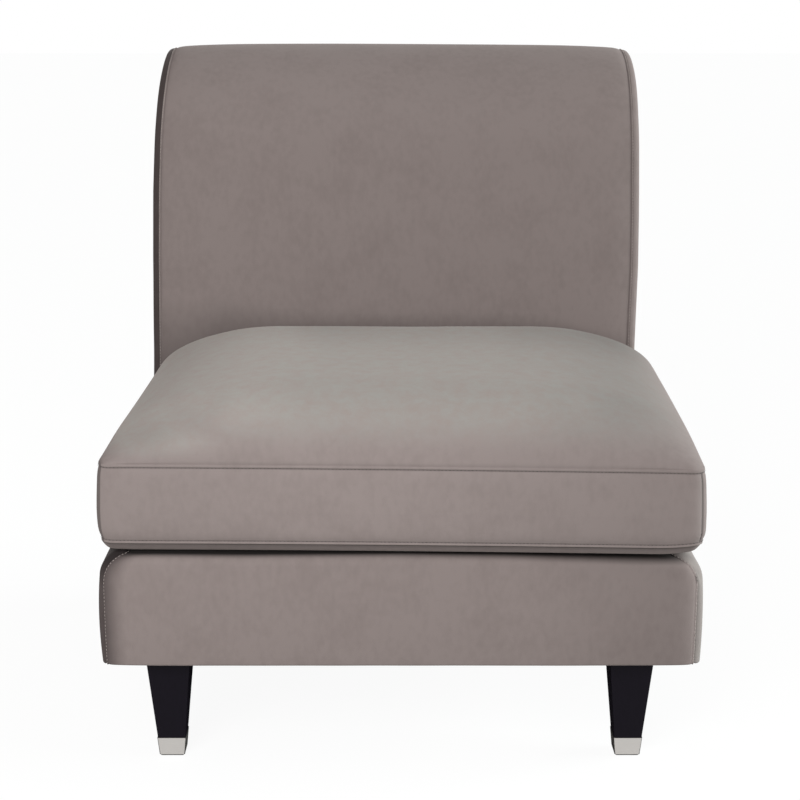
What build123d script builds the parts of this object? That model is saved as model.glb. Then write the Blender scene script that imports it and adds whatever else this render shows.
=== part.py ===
from build123d import *
import math
import os

# Armless occasional chair with a rolled back, a padded base and a loose boxed seat cushion.
# Millimetres, +Z up, the sitter faces -Y, the floor is Z = 0.
# The pieces are drawn with Y = 0 at the front face of the base and moved to the middle at the end.

# Overall sizes, over the upholstery
WIDTH = 760.0
BASE_BOTTOM = 141.0
BASE_TOP = 289.0
SEAT_DEPTH = 581.3
BACK_FOOT = 118.7
BACK_TOP = 880.0

# Shape of the back, seen from the side
RECLINE = 13.0
ROLL_R = 200.0
NOSE_R = 45.0
REAR_LEAN = 4.0
REAR_SWEEP_R = 150.0
BACK_CROWN = 5.0

# Upholstery layers
CLOTH = 1.2
GAP = 0.3
SIDE_BAND = 10.0
SIDE_EDGE_R = 8.0
BACK_FOAM = 45.0
WEBBING = 1.4
WEBBING_WIDTH = 60.0
WEBBING_STEP = 190.0
WEBBING_COUNT = 3
PANEL = 3.0
DUST_COVER = 1.0

# Padded edges of the base
EDGE_R = 27.0
SIDE_TUCK = 4.0
BASE_EDGE_R = 5.0
DECK_HEM = 3.0
FRONT_PAD = 10.0
FRONT_CROWN = 3.0
FRONT_DROP = 2.0
FRONT_LAP = 40.0
SIDE_START = 2.0
DECK_PAD = 20.0

# Wooden frame
BOARD = 20.0
RAIL_LIFT = 2.5
RAIL_HEIGHT = 118.0
BLOCK_LEG = 130.0
BLOCK_HEIGHT = 40.0
BACK_RAIL_HEIGHT = 60.0
LOWER_RAIL_RISE = 20.0
MIDDLE_RAIL_RISE = 250.0
TOP_RAIL_START = 40.0
TOP_RAIL_END = 86.0

# Sinuous seat springs
WIRE_R = 1.9
SPRING_COUNT = 5
SPRING_STEP = 125.0
SPRING_WIDTH = 60.0
SPRING_PITCH = 46.0
SPRING_BEND_R = 20.0
CLIP_LENGTH = 16.0
CLIP_WALL = 1.2
CLIP_FOOT = 9.0
WIRE_CLEARANCE = 0.15
NAIL_R = 1.0
NAIL_HEAD_R = 2.5
NAIL_HEAD = 0.8
NAIL_LENGTH = 16.0

# Legs
LEG_INSET = 85.2
LEG_OUT = WIDTH / 2 - LEG_INSET
LEG_SETBACK = 24.0
LEG_TOP_WIDTH = 56.5
LEG_TOE_WIDTH = 35.5
LEG_EDGE_R = 1.5
FERRULE_HEIGHT = 25.7
FERRULE_WALL = 0.8
FERRULE_FLOOR = 2.0
FERRULE_CHAMFER = 2.0
FERRULE_FIT = 0.05
GLIDE = 1.2
GLIDE_R = 8.0
PIN_R = 1.2
PIN_LENGTH = 14.0
PLATE = 50.0
PLATE_SCREW_SPACING = 36.0
BOLT_R = 4.0
BOLT_IN_LEG = 34.0
BOLT_IN_FRAME = 26.0
HOLE_CLEARANCE = 0.1
SCREW_R = 2.0
SCREW_HEAD_R = 3.8
SCREW_HEAD = 1.4
SCREW_LENGTH = 22.0

# Loose seat cushion
CUSHION_SIDE_MARGIN = 11.0
CUSHION_WIDTH = WIDTH - 2 * CUSHION_SIDE_MARGIN
CUSHION_OVERHANG = 8.0
CUSHION_CORNER_R = 15.0
CUSHION_CORNER_GROWTH = 0.5
CUSHION_DRAW = 4.0
BOXING = 101.9
CROWN = 78.6
CROWN_RUN = 84.0
CROWN_SIDE_RUN = 230.0
BELLY = 11.8
BELLY_RUN = 30.0
DOME_STEPS = 6
CUSHION_REAR_GAP = 3.0

# Zip in the rear of the cushion's boxing
ZIP_LENGTH = 500.0
ZIP_ROW = 1.8
ZIP_ROW_GAP = 1.2
ZIP_THICK = 2.0
SLIDER_LENGTH = 12.0
SLIDER_WIDTH = 8.0
SLIDER_WALL = 1.2
SLIDER_POST = 0.8
SLIDER_POST_LENGTH = 4.0
SLIDER_CLEARANCE = 0.2
LOOP_LENGTH = 7.0
LOOP_WIDTH = 2.4
LOOP_HEIGHT = 2.6
LOOP_HOLE = 1.4

# Edges whose ends are nearer than this meet
JOIN_TOLERANCE = 1e-6

# Levels and planes that the pieces share
HALF = WIDTH / 2
SEAM_X = HALF - SIDE_BAND
WOOD_X = SEAM_X - GAP
INNER_X = WOOD_X - BOARD
RAIL_BOTTOM = BASE_BOTTOM + RAIL_LIFT
RAIL_TOP = RAIL_BOTTOM + RAIL_HEIGHT
EDGE_X = HALF - SIDE_TUCK - EDGE_R
DECK_X = EDGE_X - DECK_HEM
DECK_COVER_BOTTOM = BASE_TOP - CLOTH
SPRING_Z = RAIL_TOP + CLIP_WALL + WIRE_CLEARANCE + WIRE_R
CLIP_TOP = SPRING_Z + WIRE_R + WIRE_CLEARANCE + CLIP_WALL
LOW_SEAM = BASE_TOP + GAP + BELLY
TOP_SEAM = LOW_SEAM + BOXING
SOFT = CLOTH + GAP
WEB_INSET = BACK_FOAM + GAP
WOOD_INSET = WEB_INSET + WEBBING + GAP
REAR_INSET = SOFT + PANEL + GAP

# Directions in the side view, as (y, z)
LEAN = math.radians(RECLINE)
UP_FACE = Vector(math.sin(LEAN), math.cos(LEAN))
INTO_BACK = Vector(math.cos(LEAN), -math.sin(LEAN))
TILT = math.radians(REAR_LEAN)
UP_REAR = Vector(math.sin(TILT), math.cos(TILT))
OUT_REAR = Vector(math.cos(TILT), -math.sin(TILT))
UP = Vector(0, 1)
BACKWARD = Vector(1, 0)

# Centres of the three arcs of the back's outline
FACE_POINT = Vector(SEAT_DEPTH, TOP_SEAM)
ROLL_RISE = (BACK_TOP - ROLL_R - TOP_SEAM + ROLL_R * math.sin(LEAN)) / math.cos(LEAN)
ROLL_CENTRE = FACE_POINT + UP_FACE * ROLL_RISE + INTO_BACK * ROLL_R
NOSE_CENTRE = ROLL_CENTRE + UP * (ROLL_R - NOSE_R)
REAR_FOOT = Vector(SEAT_DEPTH + BACK_FOOT, BASE_BOTTOM)
SWEEP_BASE = REAR_FOOT + OUT_REAR * REAR_SWEEP_R
TO_SWEEP = SWEEP_BASE - NOSE_CENTRE
ALONG = TO_SWEEP.dot(UP_REAR)
REACH = REAR_SWEEP_R + NOSE_R
SWEEP_RISE = -ALONG - math.sqrt(ALONG**2 - TO_SWEEP.dot(TO_SWEEP) + REACH**2)
SWEEP_CENTRE = SWEEP_BASE + UP_REAR * SWEEP_RISE
UNDER_NOSE = (SWEEP_CENTRE - NOSE_CENTRE).normalized()


def arc(centre, radius, start, end):
    """Arc about a centre, between two directions."""
    middle = (start + end).normalized()
    return ThreePointArc(centre + start * radius, centre + middle * radius, centre + end * radius)


def face_at(z, inset):
    """Point of the back's front face at a height, that far inside the cover."""
    base = FACE_POINT + INTO_BACK * inset
    return base + UP_FACE * ((z - base.Y) / UP_FACE.Y)


def rear_at(z, inset):
    """Point of the back's rear face at a height, that far inside the cover."""
    base = REAR_FOOT - OUT_REAR * inset
    return base + UP_REAR * ((z - base.Y) / UP_REAR.Y)


def roll_direction(tilt):
    """Direction from the roll's centre to its face where the face leans by this many degrees."""
    angle = math.radians(tilt)
    return Vector(-math.cos(angle), math.sin(angle))


def front_path(inset, bottom):
    """Edges up the front face and round the roll to its crest."""
    radius = ROLL_R - inset
    return [
        Line(face_at(bottom, inset), ROLL_CENTRE - INTO_BACK * radius),
        arc(ROLL_CENTRE, radius, INTO_BACK * -1, UP),
    ]


def nose_path(inset):
    """Edges round the nose, from the crest to its underside."""
    radius = NOSE_R - inset
    return [
        arc(NOSE_CENTRE, radius, UP, BACKWARD),
        arc(NOSE_CENTRE, radius, BACKWARD, UNDER_NOSE),
    ]


def rear_path(inset, bottom):
    """Edges from the nose's underside down the outside back."""
    radius = REAR_SWEEP_R + inset
    return [
        arc(SWEEP_CENTRE, radius, UNDER_NOSE * -1, OUT_REAR * -1),
        Line(SWEEP_CENTRE - OUT_REAR * radius, rear_at(bottom, inset)),
    ]


def side_view(edges, x):
    """Face in the plane at x from edges drawn as (y, z), closed by straight lines where they part."""
    closed = []
    for edge, following in zip(edges, edges[1:] + edges[:1]):
        closed.append(edge)
        start, end = edge @ 1, following @ 0
        if (end - start).length > JOIN_TOLERANCE:
            closed.append(Line(start, end))
    return Plane(origin=(x, 0, 0), x_dir=(0, 1, 0), z_dir=(1, 0, 0)) * make_face(closed)


def backwards(edges):
    """The same edges, run the other way."""
    return [e.reversed() for e in reversed(edges)]


def front_view(edges):
    """Face in the plane y = 0 from edges drawn as (x, z)."""
    return Plane.XZ * make_face(edges)


def across(edges, start, end):
    """Solid with a side-view outline, from one x to another."""
    return extrude(side_view(edges, start), amount=end - start, dir=(1, 0, 0))


def along(face, start, end):
    """Solid with a front-view outline, from one y to another."""
    return Pos(0, start, 0) * extrude(face, amount=end - start, dir=(0, 1, 0))


def block(x, y, z):
    """Box between pairs of limits."""
    sizes = [limits[1] - limits[0] for limits in (x, y, z)]
    return Pos(x[0], y[0], z[0]) * Box(*sizes, align=(Align.MIN, Align.MIN, Align.MIN))


def rod(radius, start, end, x, y):
    """Upright round bar between two heights."""
    bar = Cylinder(radius, end - start, align=(Align.CENTER, Align.CENTER, Align.MIN))
    return Pos(x, y, start) * bar


def polygon(points):
    """Closed straight-sided outline as a list of edges."""
    return [Line(a, b) for a, b in zip(points, points[1:] + points[:1])]


def right_and_left(piece):
    """A piece and its mirror image, by side."""
    return {"right": piece, "left": mirror(piece, about=Plane.YZ)}


# Frame of the base


def side_rail():
    """Right-hand rail, from the front rail's face to the back post."""
    low = face_at(RAIL_BOTTOM, WOOD_INSET)
    high = face_at(RAIL_TOP, WOOD_INSET)
    outline = [Vector(FRONT_PAD, RAIL_BOTTOM), low, high, Vector(FRONT_PAD, RAIL_TOP)]
    return across(polygon(outline), INNER_X, WOOD_X)


def front_rail():
    """Rail between the side rails at the front."""
    return block((-INNER_X, INNER_X), (FRONT_PAD, FRONT_PAD + BOARD), (RAIL_BOTTOM, RAIL_TOP))


def rear_rail():
    """Rail between the back posts, leaning with the outside back."""
    outline = [
        rear_at(RAIL_BOTTOM, REAR_INSET + BOARD),
        rear_at(RAIL_BOTTOM, REAR_INSET),
        rear_at(RAIL_TOP, REAR_INSET),
        rear_at(RAIL_TOP, REAR_INSET + BOARD),
    ]
    return across(polygon(outline), -INNER_X, INNER_X)


def corner_block(rear):
    """Right-hand three-cornered block that a leg is bolted to."""
    y = rear_at(RAIL_BOTTOM, REAR_INSET + BOARD).X if rear else FRONT_PAD + BOARD
    inward = -BLOCK_LEG if rear else BLOCK_LEG
    outline = Plane.XY * make_face(polygon([(INNER_X, y), (INNER_X - BLOCK_LEG, y), (INNER_X, y + inward)]))
    return Pos(0, 0, RAIL_BOTTOM) * extrude(outline, amount=BLOCK_HEIGHT, dir=(0, 0, 1))


# Frame of the back


def back_post():
    """Right-hand post, cut to the back's outline."""
    edges = front_path(WOOD_INSET, RAIL_BOTTOM) + rear_path(REAR_INSET, RAIL_BOTTOM)
    return across(edges, INNER_X, WOOD_X)


def straight_back_rail(rise):
    """Rail between the posts, behind the straight part of the front face."""
    low = BASE_TOP + rise
    high = low + BACK_RAIL_HEIGHT * math.cos(LEAN)
    outline = [
        face_at(low, WOOD_INSET),
        face_at(high, WOOD_INSET),
        face_at(high, WOOD_INSET) + INTO_BACK * BOARD,
        face_at(low, WOOD_INSET) + INTO_BACK * BOARD,
    ]
    return across(polygon(outline), -INNER_X, INNER_X)


def back_top_rail():
    """Curved rail under the roll."""
    start, end = roll_direction(TOP_RAIL_START), roll_direction(TOP_RAIL_END)
    outer = arc(ROLL_CENTRE, ROLL_R - WOOD_INSET, start, end)
    inner = arc(ROLL_CENTRE, ROLL_R - WOOD_INSET - BOARD, end, start)
    return across([outer, inner], -INNER_X, INNER_X)


def back_webbing(x):
    """Upright strap from the lower back rail to the top rail, under the foam."""
    bottom = BASE_TOP + LOWER_RAIL_RISE
    end = roll_direction(TOP_RAIL_END)

    def strap(inset):
        radius = ROLL_R - inset
        start = ROLL_CENTRE - INTO_BACK * radius
        return [Line(face_at(bottom, inset), start), arc(ROLL_CENTRE, radius, INTO_BACK * -1, end)]

    edges = strap(WEB_INSET) + backwards(strap(WEB_INSET + WEBBING))
    return across(edges, x - WEBBING_WIDTH / 2, x + WEBBING_WIDTH / 2)


# Upholstery of the back


def crowned(section, half_width):
    """Loft of a side-view section from seam to seam, swelling by the crown in the middle."""
    ends = ((-half_width, 0.0), (0.0, BACK_CROWN), (half_width, 0.0))
    return loft([side_view(section(crown), x) for x, crown in ends])


def back_foam():
    """Foam of the inside back, the roll and the nose."""

    def section(crown):
        outer = front_path(SOFT - crown, BASE_TOP + GAP) + nose_path(SOFT - crown)
        under = NOSE_CENTRE + UNDER_NOSE * (NOSE_R - REAR_INSET) + BACKWARD * GAP
        crest = ROLL_CENTRE + UP * (ROLL_R - BACK_FOAM) + BACKWARD * GAP
        return outer + [Line(under, crest)] + backwards(front_path(BACK_FOAM, BASE_TOP + GAP))

    return crowned(section, SEAM_X - SOFT)


def back_front_cover():
    """Cover of the inside back, over the roll to the underside of the nose."""

    def section(crown):
        outer = front_path(-crown, BASE_TOP + GAP) + nose_path(-crown)
        inner = front_path(CLOTH - crown, BASE_TOP + GAP) + nose_path(CLOTH - crown)
        return outer + backwards(inner)

    return crowned(section, SEAM_X)


def back_outline(inset):
    """Whole outline of the back, seen from the side."""
    bottom = BASE_BOTTOM + inset
    return front_path(inset, bottom) + nose_path(inset) + rear_path(inset, bottom)


def back_side_form(inset, start):
    """Right-hand side band of the back, rounded at its outer edge."""
    end = HALF - inset
    band = across(back_outline(inset), start, end)
    rim = band.faces().sort_by(Axis.X)[-1].edges()
    return fillet(rim, SIDE_EDGE_R - inset)


def back_side_cover():
    """Right-hand side cover of the back."""
    return back_side_form(0.0, SEAM_X) - back_side_form(CLOTH, SEAM_X - CLOTH)


def back_side_pad():
    """Right-hand padding under the back's side cover."""
    return back_side_form(SOFT, SEAM_X + GAP)


def outside_back_panel():
    """Stiff panel that closes the back behind."""
    inner = SOFT + PANEL
    edges = rear_path(SOFT, RAIL_BOTTOM) + backwards(rear_path(inner, RAIL_BOTTOM))
    return across(edges, -WOOD_X, WOOD_X)


def outside_back_cover():
    """Cover of the outside back, from the nose to the bottom of the base."""
    edges = rear_path(0.0, BASE_BOTTOM) + backwards(rear_path(CLOTH, BASE_BOTTOM))
    return across(edges, -SEAM_X, SEAM_X)


# Upholstery of the base


def front_outline(inset):
    """Front panel with rounded upper corners, seen from the front."""
    x = SEAM_X - inset
    top = BASE_TOP - FRONT_DROP - inset
    radius = EDGE_R - inset
    right = Vector(x - radius, top - radius)
    left = Vector(radius - x, top - radius)
    return front_view(
        [
            Line((-x, BASE_BOTTOM), (x, BASE_BOTTOM)),
            Line((x, BASE_BOTTOM), (x, right.Y)),
            arc(right, radius, Vector(1, 0), Vector(0, 1)),
            Line((right.X, top), (left.X, top)),
            arc(left, radius, Vector(0, 1), Vector(-1, 0)),
            Line((-x, left.Y), (-x, BASE_BOTTOM)),
        ]
    )


def front_form(inset):
    """Padded front border, crowned and rolled over the front rail."""
    top = BASE_TOP - FRONT_DROP
    shoulder = top - EDGE_R
    middle = (BASE_BOTTOM + shoulder) / 2
    edges = [
        ThreePointArc((inset, BASE_BOTTOM), (inset - FRONT_CROWN, middle), (inset, shoulder)),
        arc(Vector(EDGE_R, shoulder), EDGE_R - inset, Vector(-1, 0), Vector(0, 1)),
        Line((EDGE_R, top - inset), (FRONT_LAP, top - inset)),
        Line((FRONT_LAP, top - inset), (FRONT_LAP, CLIP_TOP + GAP)),
        Line((FRONT_LAP, CLIP_TOP + GAP), (FRONT_PAD, CLIP_TOP + GAP)),
        Line((FRONT_PAD, CLIP_TOP + GAP), (FRONT_PAD, BASE_BOTTOM)),
    ]
    whole = across(edges, inset - SEAM_X, SEAM_X - inset)
    return whole & along(front_outline(inset), -FRONT_LAP, FRONT_LAP * 2)


def side_outline(inset):
    """Right-hand side border with its edge roll, seen from the front."""
    foot = HALF - SIDE_TUCK - inset
    shoulder = BASE_TOP - EDGE_R
    middle = (BASE_BOTTOM + shoulder) / 2
    top = BASE_TOP - inset
    return front_view(
        [
            ThreePointArc((foot, BASE_BOTTOM), (HALF - inset, middle), (foot, shoulder)),
            arc(Vector(EDGE_X, shoulder), EDGE_R - inset, Vector(1, 0), Vector(0, 1)),
            Line((EDGE_X, top), (DECK_X, top)),
            Line((DECK_X, top), (DECK_X, RAIL_TOP + GAP)),
            Line((DECK_X, RAIL_TOP + GAP), (SEAM_X, RAIL_TOP + GAP)),
            Line((SEAM_X, RAIL_TOP + GAP), (SEAM_X, BASE_BOTTOM)),
            Line((SEAM_X, BASE_BOTTOM), (foot, BASE_BOTTOM)),
        ]
    )


def behind(inset, start, end):
    """Everything behind the back's front face, as a tool to trim the base with."""
    low, high = 0.0, BASE_TOP + EDGE_R
    far = SEAT_DEPTH + BACK_FOOT + ROLL_R
    outline = [face_at(low, inset), face_at(high, inset), Vector(far, high), Vector(far, low)]
    return across(polygon(outline), start, end)


def side_form(inset):
    """Right-hand side border, rounded at the front and trimmed to the back."""
    whole = along(side_outline(inset), SIDE_START + inset, SEAT_DEPTH + BACK_FOOT)
    front = whole.faces().sort_by(Axis.Y)[0]
    rim = front.edges().filter_by(GeomType.CIRCLE)
    rounded = fillet(rim, BASE_EDGE_R - inset)
    rounded -= along(front_outline(-GAP), -FRONT_LAP, FRONT_LAP + GAP)
    rounded -= behind(-GAP, SEAM_X - GAP, HALF + SIDE_BAND)
    return rounded - behind(WOOD_INSET - GAP, 0.0, SEAM_X)


def base_front_cover():
    """Cover of the front border."""
    return front_form(0.0) - front_form(CLOTH)


def base_side_cover():
    """Right-hand side cover of the base."""
    return side_form(0.0) - side_form(CLOTH)


DECK_FRONT = FRONT_LAP + GAP
DECK_REAR = face_at(DECK_COVER_BOTTOM - DECK_PAD, WOOD_INSET).X - GAP


def deck_pad():
    """Pad over the springs, under the cushion."""
    top = DECK_COVER_BOTTOM
    return block((GAP - DECK_X, DECK_X - GAP), (DECK_FRONT, DECK_REAR), (top - DECK_PAD, top))


def deck_cover():
    """Cloth over the deck pad."""
    x = (GAP - DECK_X, DECK_X - GAP)
    return block(x, (DECK_FRONT, DECK_REAR), (DECK_COVER_BOTTOM, BASE_TOP))


# Seat springs

SPRING_FRONT = FRONT_PAD + BOARD / 2
SPRING_REAR = rear_at(RAIL_TOP, REAR_INSET + BOARD / 2).X
SPRING_RUNS = 2 * round((SPRING_REAR - SPRING_FRONT) / SPRING_PITCH / 2) + 1
SPRING_XS = [SPRING_STEP * (i - (SPRING_COUNT - 1) / 2) for i in range(SPRING_COUNT)]
CLIP_PLACES = [(x, y) for x in SPRING_XS for y in (SPRING_FRONT, SPRING_REAR)]


def seat_spring(x):
    """Flat zigzag of wire from the front rail to the rear rail."""
    pitch = (SPRING_REAR - SPRING_FRONT) / SPRING_RUNS
    points = []
    for run in range(SPRING_RUNS + 1):
        side = SPRING_WIDTH / 2 if run % 2 else -SPRING_WIDTH / 2
        y = SPRING_FRONT + pitch * run
        points += [(x + side, y, SPRING_Z), (x - side, y, SPRING_Z)]
    path = FilletPolyline(*points, radius=SPRING_BEND_R)
    start = Plane(origin=path @ 0, z_dir=path % 0)
    return sweep(start * Circle(WIRE_R), path=path)


def clip_nail_y(y):
    """Where the nail of a clip goes, on the clip's foot."""
    reach = WIRE_R + WIRE_CLEARANCE + CLIP_WALL + CLIP_FOOT / 2
    middle = (SPRING_FRONT + SPRING_REAR) / 2
    return y - reach if y > middle else y + reach


def spring_clip(x, y):
    """Folded clip that holds the end run of a spring."""
    bore = WIRE_R + WIRE_CLEARANCE
    half = bore + CLIP_WALL
    end_x = (x - CLIP_LENGTH / 2, x + CLIP_LENGTH / 2)
    body = block(end_x, (y - half, y + half), (RAIL_TOP, CLIP_TOP))
    inner = clip_nail_y(y)
    far = inner + (CLIP_FOOT / 2 if inner > y else -CLIP_FOOT / 2)
    body += block(end_x, sorted((y, far)), (RAIL_TOP, RAIL_TOP + CLIP_WALL))
    body -= Pos(x, y, SPRING_Z) * Rot(0, 90, 0) * Cylinder(bore, CLIP_LENGTH * 2)
    return body - rod(NAIL_R + HOLE_CLEARANCE, RAIL_TOP, CLIP_TOP, x, inner)


def clip_nail(x, y):
    """Nail through a clip's foot into the rail."""
    y = clip_nail_y(y)
    seat = RAIL_TOP + CLIP_WALL
    return rod(NAIL_R, seat - NAIL_LENGTH, seat, x, y) + rod(NAIL_HEAD_R, seat, seat + NAIL_HEAD, x, y)


def clip_holes():
    """Holes that the clip nails make in the rails."""
    bottom = RAIL_TOP + CLIP_WALL - NAIL_LENGTH
    radius = NAIL_R + HOLE_CLEARANCE
    return [rod(radius, bottom, RAIL_TOP, x, clip_nail_y(y)) for x, y in CLIP_PLACES]


# Legs

LEG_YS = {
    "front": LEG_SETBACK + LEG_TOP_WIDTH / 2,
    "rear": SEAT_DEPTH + BACK_FOOT - LEG_SETBACK - LEG_TOP_WIDTH / 2,
}
LEG_XS = {"left": -LEG_OUT, "right": LEG_OUT}
LEG_PLACES = {f"{end}_{side}": (x, y) for end, y in LEG_YS.items() for side, x in LEG_XS.items()}
FERRULE_TOP = GLIDE + FERRULE_HEIGHT
LEG_BOTTOM = GLIDE + FERRULE_FLOOR + FERRULE_FIT


def leg_width(z):
    """Width of the square leg at a height."""
    share = (z - FERRULE_TOP) / (BASE_BOTTOM - FERRULE_TOP)
    return LEG_TOE_WIDTH + (LEG_TOP_WIDTH - LEG_TOE_WIDTH) * share


def taper(low, high, grow):
    """Square taper between two heights, grown from the leg on every side."""
    ends = []
    for z in (low, high):
        width = leg_width(z) + 2 * grow
        ends.append(Plane.XY.offset(z) * RectangleRounded(width, width, LEG_EDGE_R + max(grow, 0)))
    return loft(ends, ruled=True)


def leg(x, y):
    """Tapered leg with holes for its bolt and for the pin of its glide."""
    body = taper(LEG_BOTTOM, BASE_BOTTOM, 0.0)
    body -= rod(BOLT_R + HOLE_CLEARANCE, BASE_BOTTOM - BOLT_IN_LEG, BASE_BOTTOM, 0, 0)
    body -= rod(PIN_R + HOLE_CLEARANCE, LEG_BOTTOM, GLIDE + PIN_LENGTH, 0, 0)
    return Pos(x, y, 0) * body


def ferrule(x, y):
    """Metal cup on the toe of a leg."""
    cup = taper(GLIDE, FERRULE_TOP, FERRULE_WALL)
    cup = chamfer(cup.faces().sort_by(Axis.Z)[0].edges(), FERRULE_CHAMFER)
    cup -= taper(GLIDE + FERRULE_FLOOR, FERRULE_TOP, FERRULE_FIT)
    cup -= rod(PIN_R + HOLE_CLEARANCE, 0, LEG_BOTTOM, 0, 0)
    return Pos(x, y, 0) * cup


def glide(x, y):
    """Round foot with a pin, under the ferrule."""
    return rod(GLIDE_R, 0, GLIDE, x, y) + rod(PIN_R, GLIDE, GLIDE + PIN_LENGTH, x, y)


def screw_places():
    """Centres of the leg plates' screws."""
    half = PLATE_SCREW_SPACING / 2
    return [(x + i * half, y + j * half) for x, y in LEG_PLACES.values() for i in (-1, 1) for j in (-1, 1)]


def leg_plate(x, y):
    """Steel plate between a leg and its corner block."""
    plate = block((x - PLATE / 2, x + PLATE / 2), (y - PLATE / 2, y + PLATE / 2), (BASE_BOTTOM, RAIL_BOTTOM))
    plate -= rod(BOLT_R + HOLE_CLEARANCE, BASE_BOTTOM, RAIL_BOTTOM, x, y)
    half = PLATE_SCREW_SPACING / 2
    for i in (-1, 1):
        for j in (-1, 1):
            at = (x + i * half, y + j * half)
            plate -= rod(SCREW_R + HOLE_CLEARANCE, BASE_BOTTOM, RAIL_BOTTOM, *at)
            plate -= rod(SCREW_HEAD_R + HOLE_CLEARANCE, BASE_BOTTOM, BASE_BOTTOM + SCREW_HEAD, *at)
    return plate


def plate_screw(x, y):
    """Wood screw, its flat head sunk in the leg plate."""
    head = BASE_BOTTOM + SCREW_HEAD
    return rod(SCREW_HEAD_R, BASE_BOTTOM, head, x, y) + rod(SCREW_R, head, BASE_BOTTOM + SCREW_LENGTH, x, y)


def hanger_bolt(x, y):
    """Bolt from a leg through its plate into the corner block."""
    return rod(BOLT_R, BASE_BOTTOM - BOLT_IN_LEG, BASE_BOTTOM + BOLT_IN_FRAME, x, y)


def leg_holes():
    """Holes for the leg bolts and the plate screws."""
    high = BASE_BOTTOM + SCREW_LENGTH
    holes = [rod(SCREW_R + HOLE_CLEARANCE, BASE_BOTTOM, high, *at) for at in screw_places()]
    top = BASE_BOTTOM + BOLT_IN_FRAME
    holes += [rod(BOLT_R + HOLE_CLEARANCE, BASE_BOTTOM, top, *at) for at in LEG_PLACES.values()]
    return holes


def dust_cover():
    """Thin cloth under the frame, cut out round the leg plates."""
    rear = rear_at(RAIL_BOTTOM, REAR_INSET).X
    sheet = block((-WOOD_X, WOOD_X), (FRONT_PAD, rear), (RAIL_BOTTOM - DUST_COVER, RAIL_BOTTOM))
    half = PLATE / 2 + GAP
    for x, y in LEG_PLACES.values():
        sheet -= block((x - half, x + half), (y - half, y + half), (BASE_BOTTOM, RAIL_BOTTOM))
    return sheet


# Seat cushion

CUSHION_FRONT = -CUSHION_OVERHANG
CUSHION_REAR = face_at(LOW_SEAM, -BACK_CROWN).X - CUSHION_REAR_GAP


def cushion_outline(ends, sides, z):
    """Plan of the cushion, set in at its ends and its sides, and drawn in between the corners."""
    x = CUSHION_WIDTH / 2 - sides
    front = CUSHION_FRONT + ends
    rear = CUSHION_REAR - ends
    r = CUSHION_CORNER_R + CUSHION_CORNER_GROWTH * ends
    middle = (front + rear) / 2
    right, left = Vector(1, 0), Vector(-1, 0)
    ahead, astern = Vector(0, -1), Vector(0, 1)
    edges = [
        ThreePointArc((r - x, front), (0, front + CUSHION_DRAW), (x - r, front)),
        arc(Vector(x - r, front + r), r, ahead, right),
        ThreePointArc((x, front + r), (x - CUSHION_DRAW, middle), (x, rear - r)),
        arc(Vector(x - r, rear - r), r, right, astern),
        Line((x - r, rear), (r - x, rear)),
        arc(Vector(r - x, rear - r), r, astern, left),
        ThreePointArc((-x, rear - r), (CUSHION_DRAW - x, middle), (-x, front + r)),
        arc(Vector(r - x, front + r), r, left, ahead),
    ]
    return Plane.XY.offset(z) * make_face(edges)


def dome(inset, seam, rise, run, side_run):
    """Swelling of a panel from its seam, as a quarter ellipse all round."""
    sections = []
    for step in range(DOME_STEPS + 1):
        angle = math.pi / 2 * step / DOME_STEPS
        inward = 1 - math.cos(angle)
        z = seam + rise * math.sin(angle)
        sections.append(cushion_outline(inset + run * inward, inset + side_run * inward, z))
    return loft(sections, ruled=True)


def crown_form(inset):
    """Crowned top of the cushion above its upper seam."""
    return dome(inset, TOP_SEAM, CROWN - inset, CROWN_RUN, CROWN_SIDE_RUN)


def belly_form(inset):
    """Underside of the cushion below its lower seam."""
    return dome(inset, LOW_SEAM, inset - BELLY, BELLY_RUN, BELLY_RUN)


ZIP_Z = (LOW_SEAM + TOP_SEAM) / 2
ZIP_HALF = ZIP_ROW + ZIP_ROW_GAP / 2
ZIP_INNER_Y = CUSHION_REAR - CLOTH
ZIP_OUTER_Y = ZIP_INNER_Y + ZIP_THICK
SLIDER_X = -ZIP_LENGTH / 2 + SLIDER_LENGTH


def cushion_boxing():
    """Strip round the cushion between its two seams, slit for the zip."""
    ring = cushion_outline(0.0, 0.0, LOW_SEAM) - cushion_outline(CLOTH, CLOTH, LOW_SEAM)
    strip = extrude(ring, amount=BOXING, dir=(0, 0, 1))
    half = ZIP_LENGTH / 2
    slit = block((-half, half), (ZIP_INNER_Y - CLOTH, ZIP_OUTER_Y), (ZIP_Z - ZIP_HALF, ZIP_Z + ZIP_HALF))
    return strip - slit


def cushion_core():
    """Wrapped foam inside the cover, grooved behind the zip."""
    sides = extrude(cushion_outline(SOFT, SOFT, LOW_SEAM), amount=BOXING, dir=(0, 0, 1))
    body = sides + crown_form(SOFT) + belly_form(SOFT)
    groove = SLIDER_WIDTH / 2 + SLIDER_WALL
    depth = SLIDER_WALL + SLIDER_CLEARANCE * 2
    half = ZIP_LENGTH / 2 + SLIDER_LENGTH
    y = (ZIP_INNER_Y - depth, CUSHION_REAR)
    return body - block((-half, half), y, (ZIP_Z - groove, ZIP_Z + groove))


def zip_rows():
    """The zip's two rows of teeth, one on each lip of the slit."""
    half = ZIP_LENGTH / 2
    rows = []
    for sign in (-1, 1):
        z = sorted((ZIP_Z + sign * ZIP_ROW_GAP / 2, ZIP_Z + sign * ZIP_HALF))
        rows.append(block((-half, half), (ZIP_INNER_Y, ZIP_OUTER_Y), z))
    return rows


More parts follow.
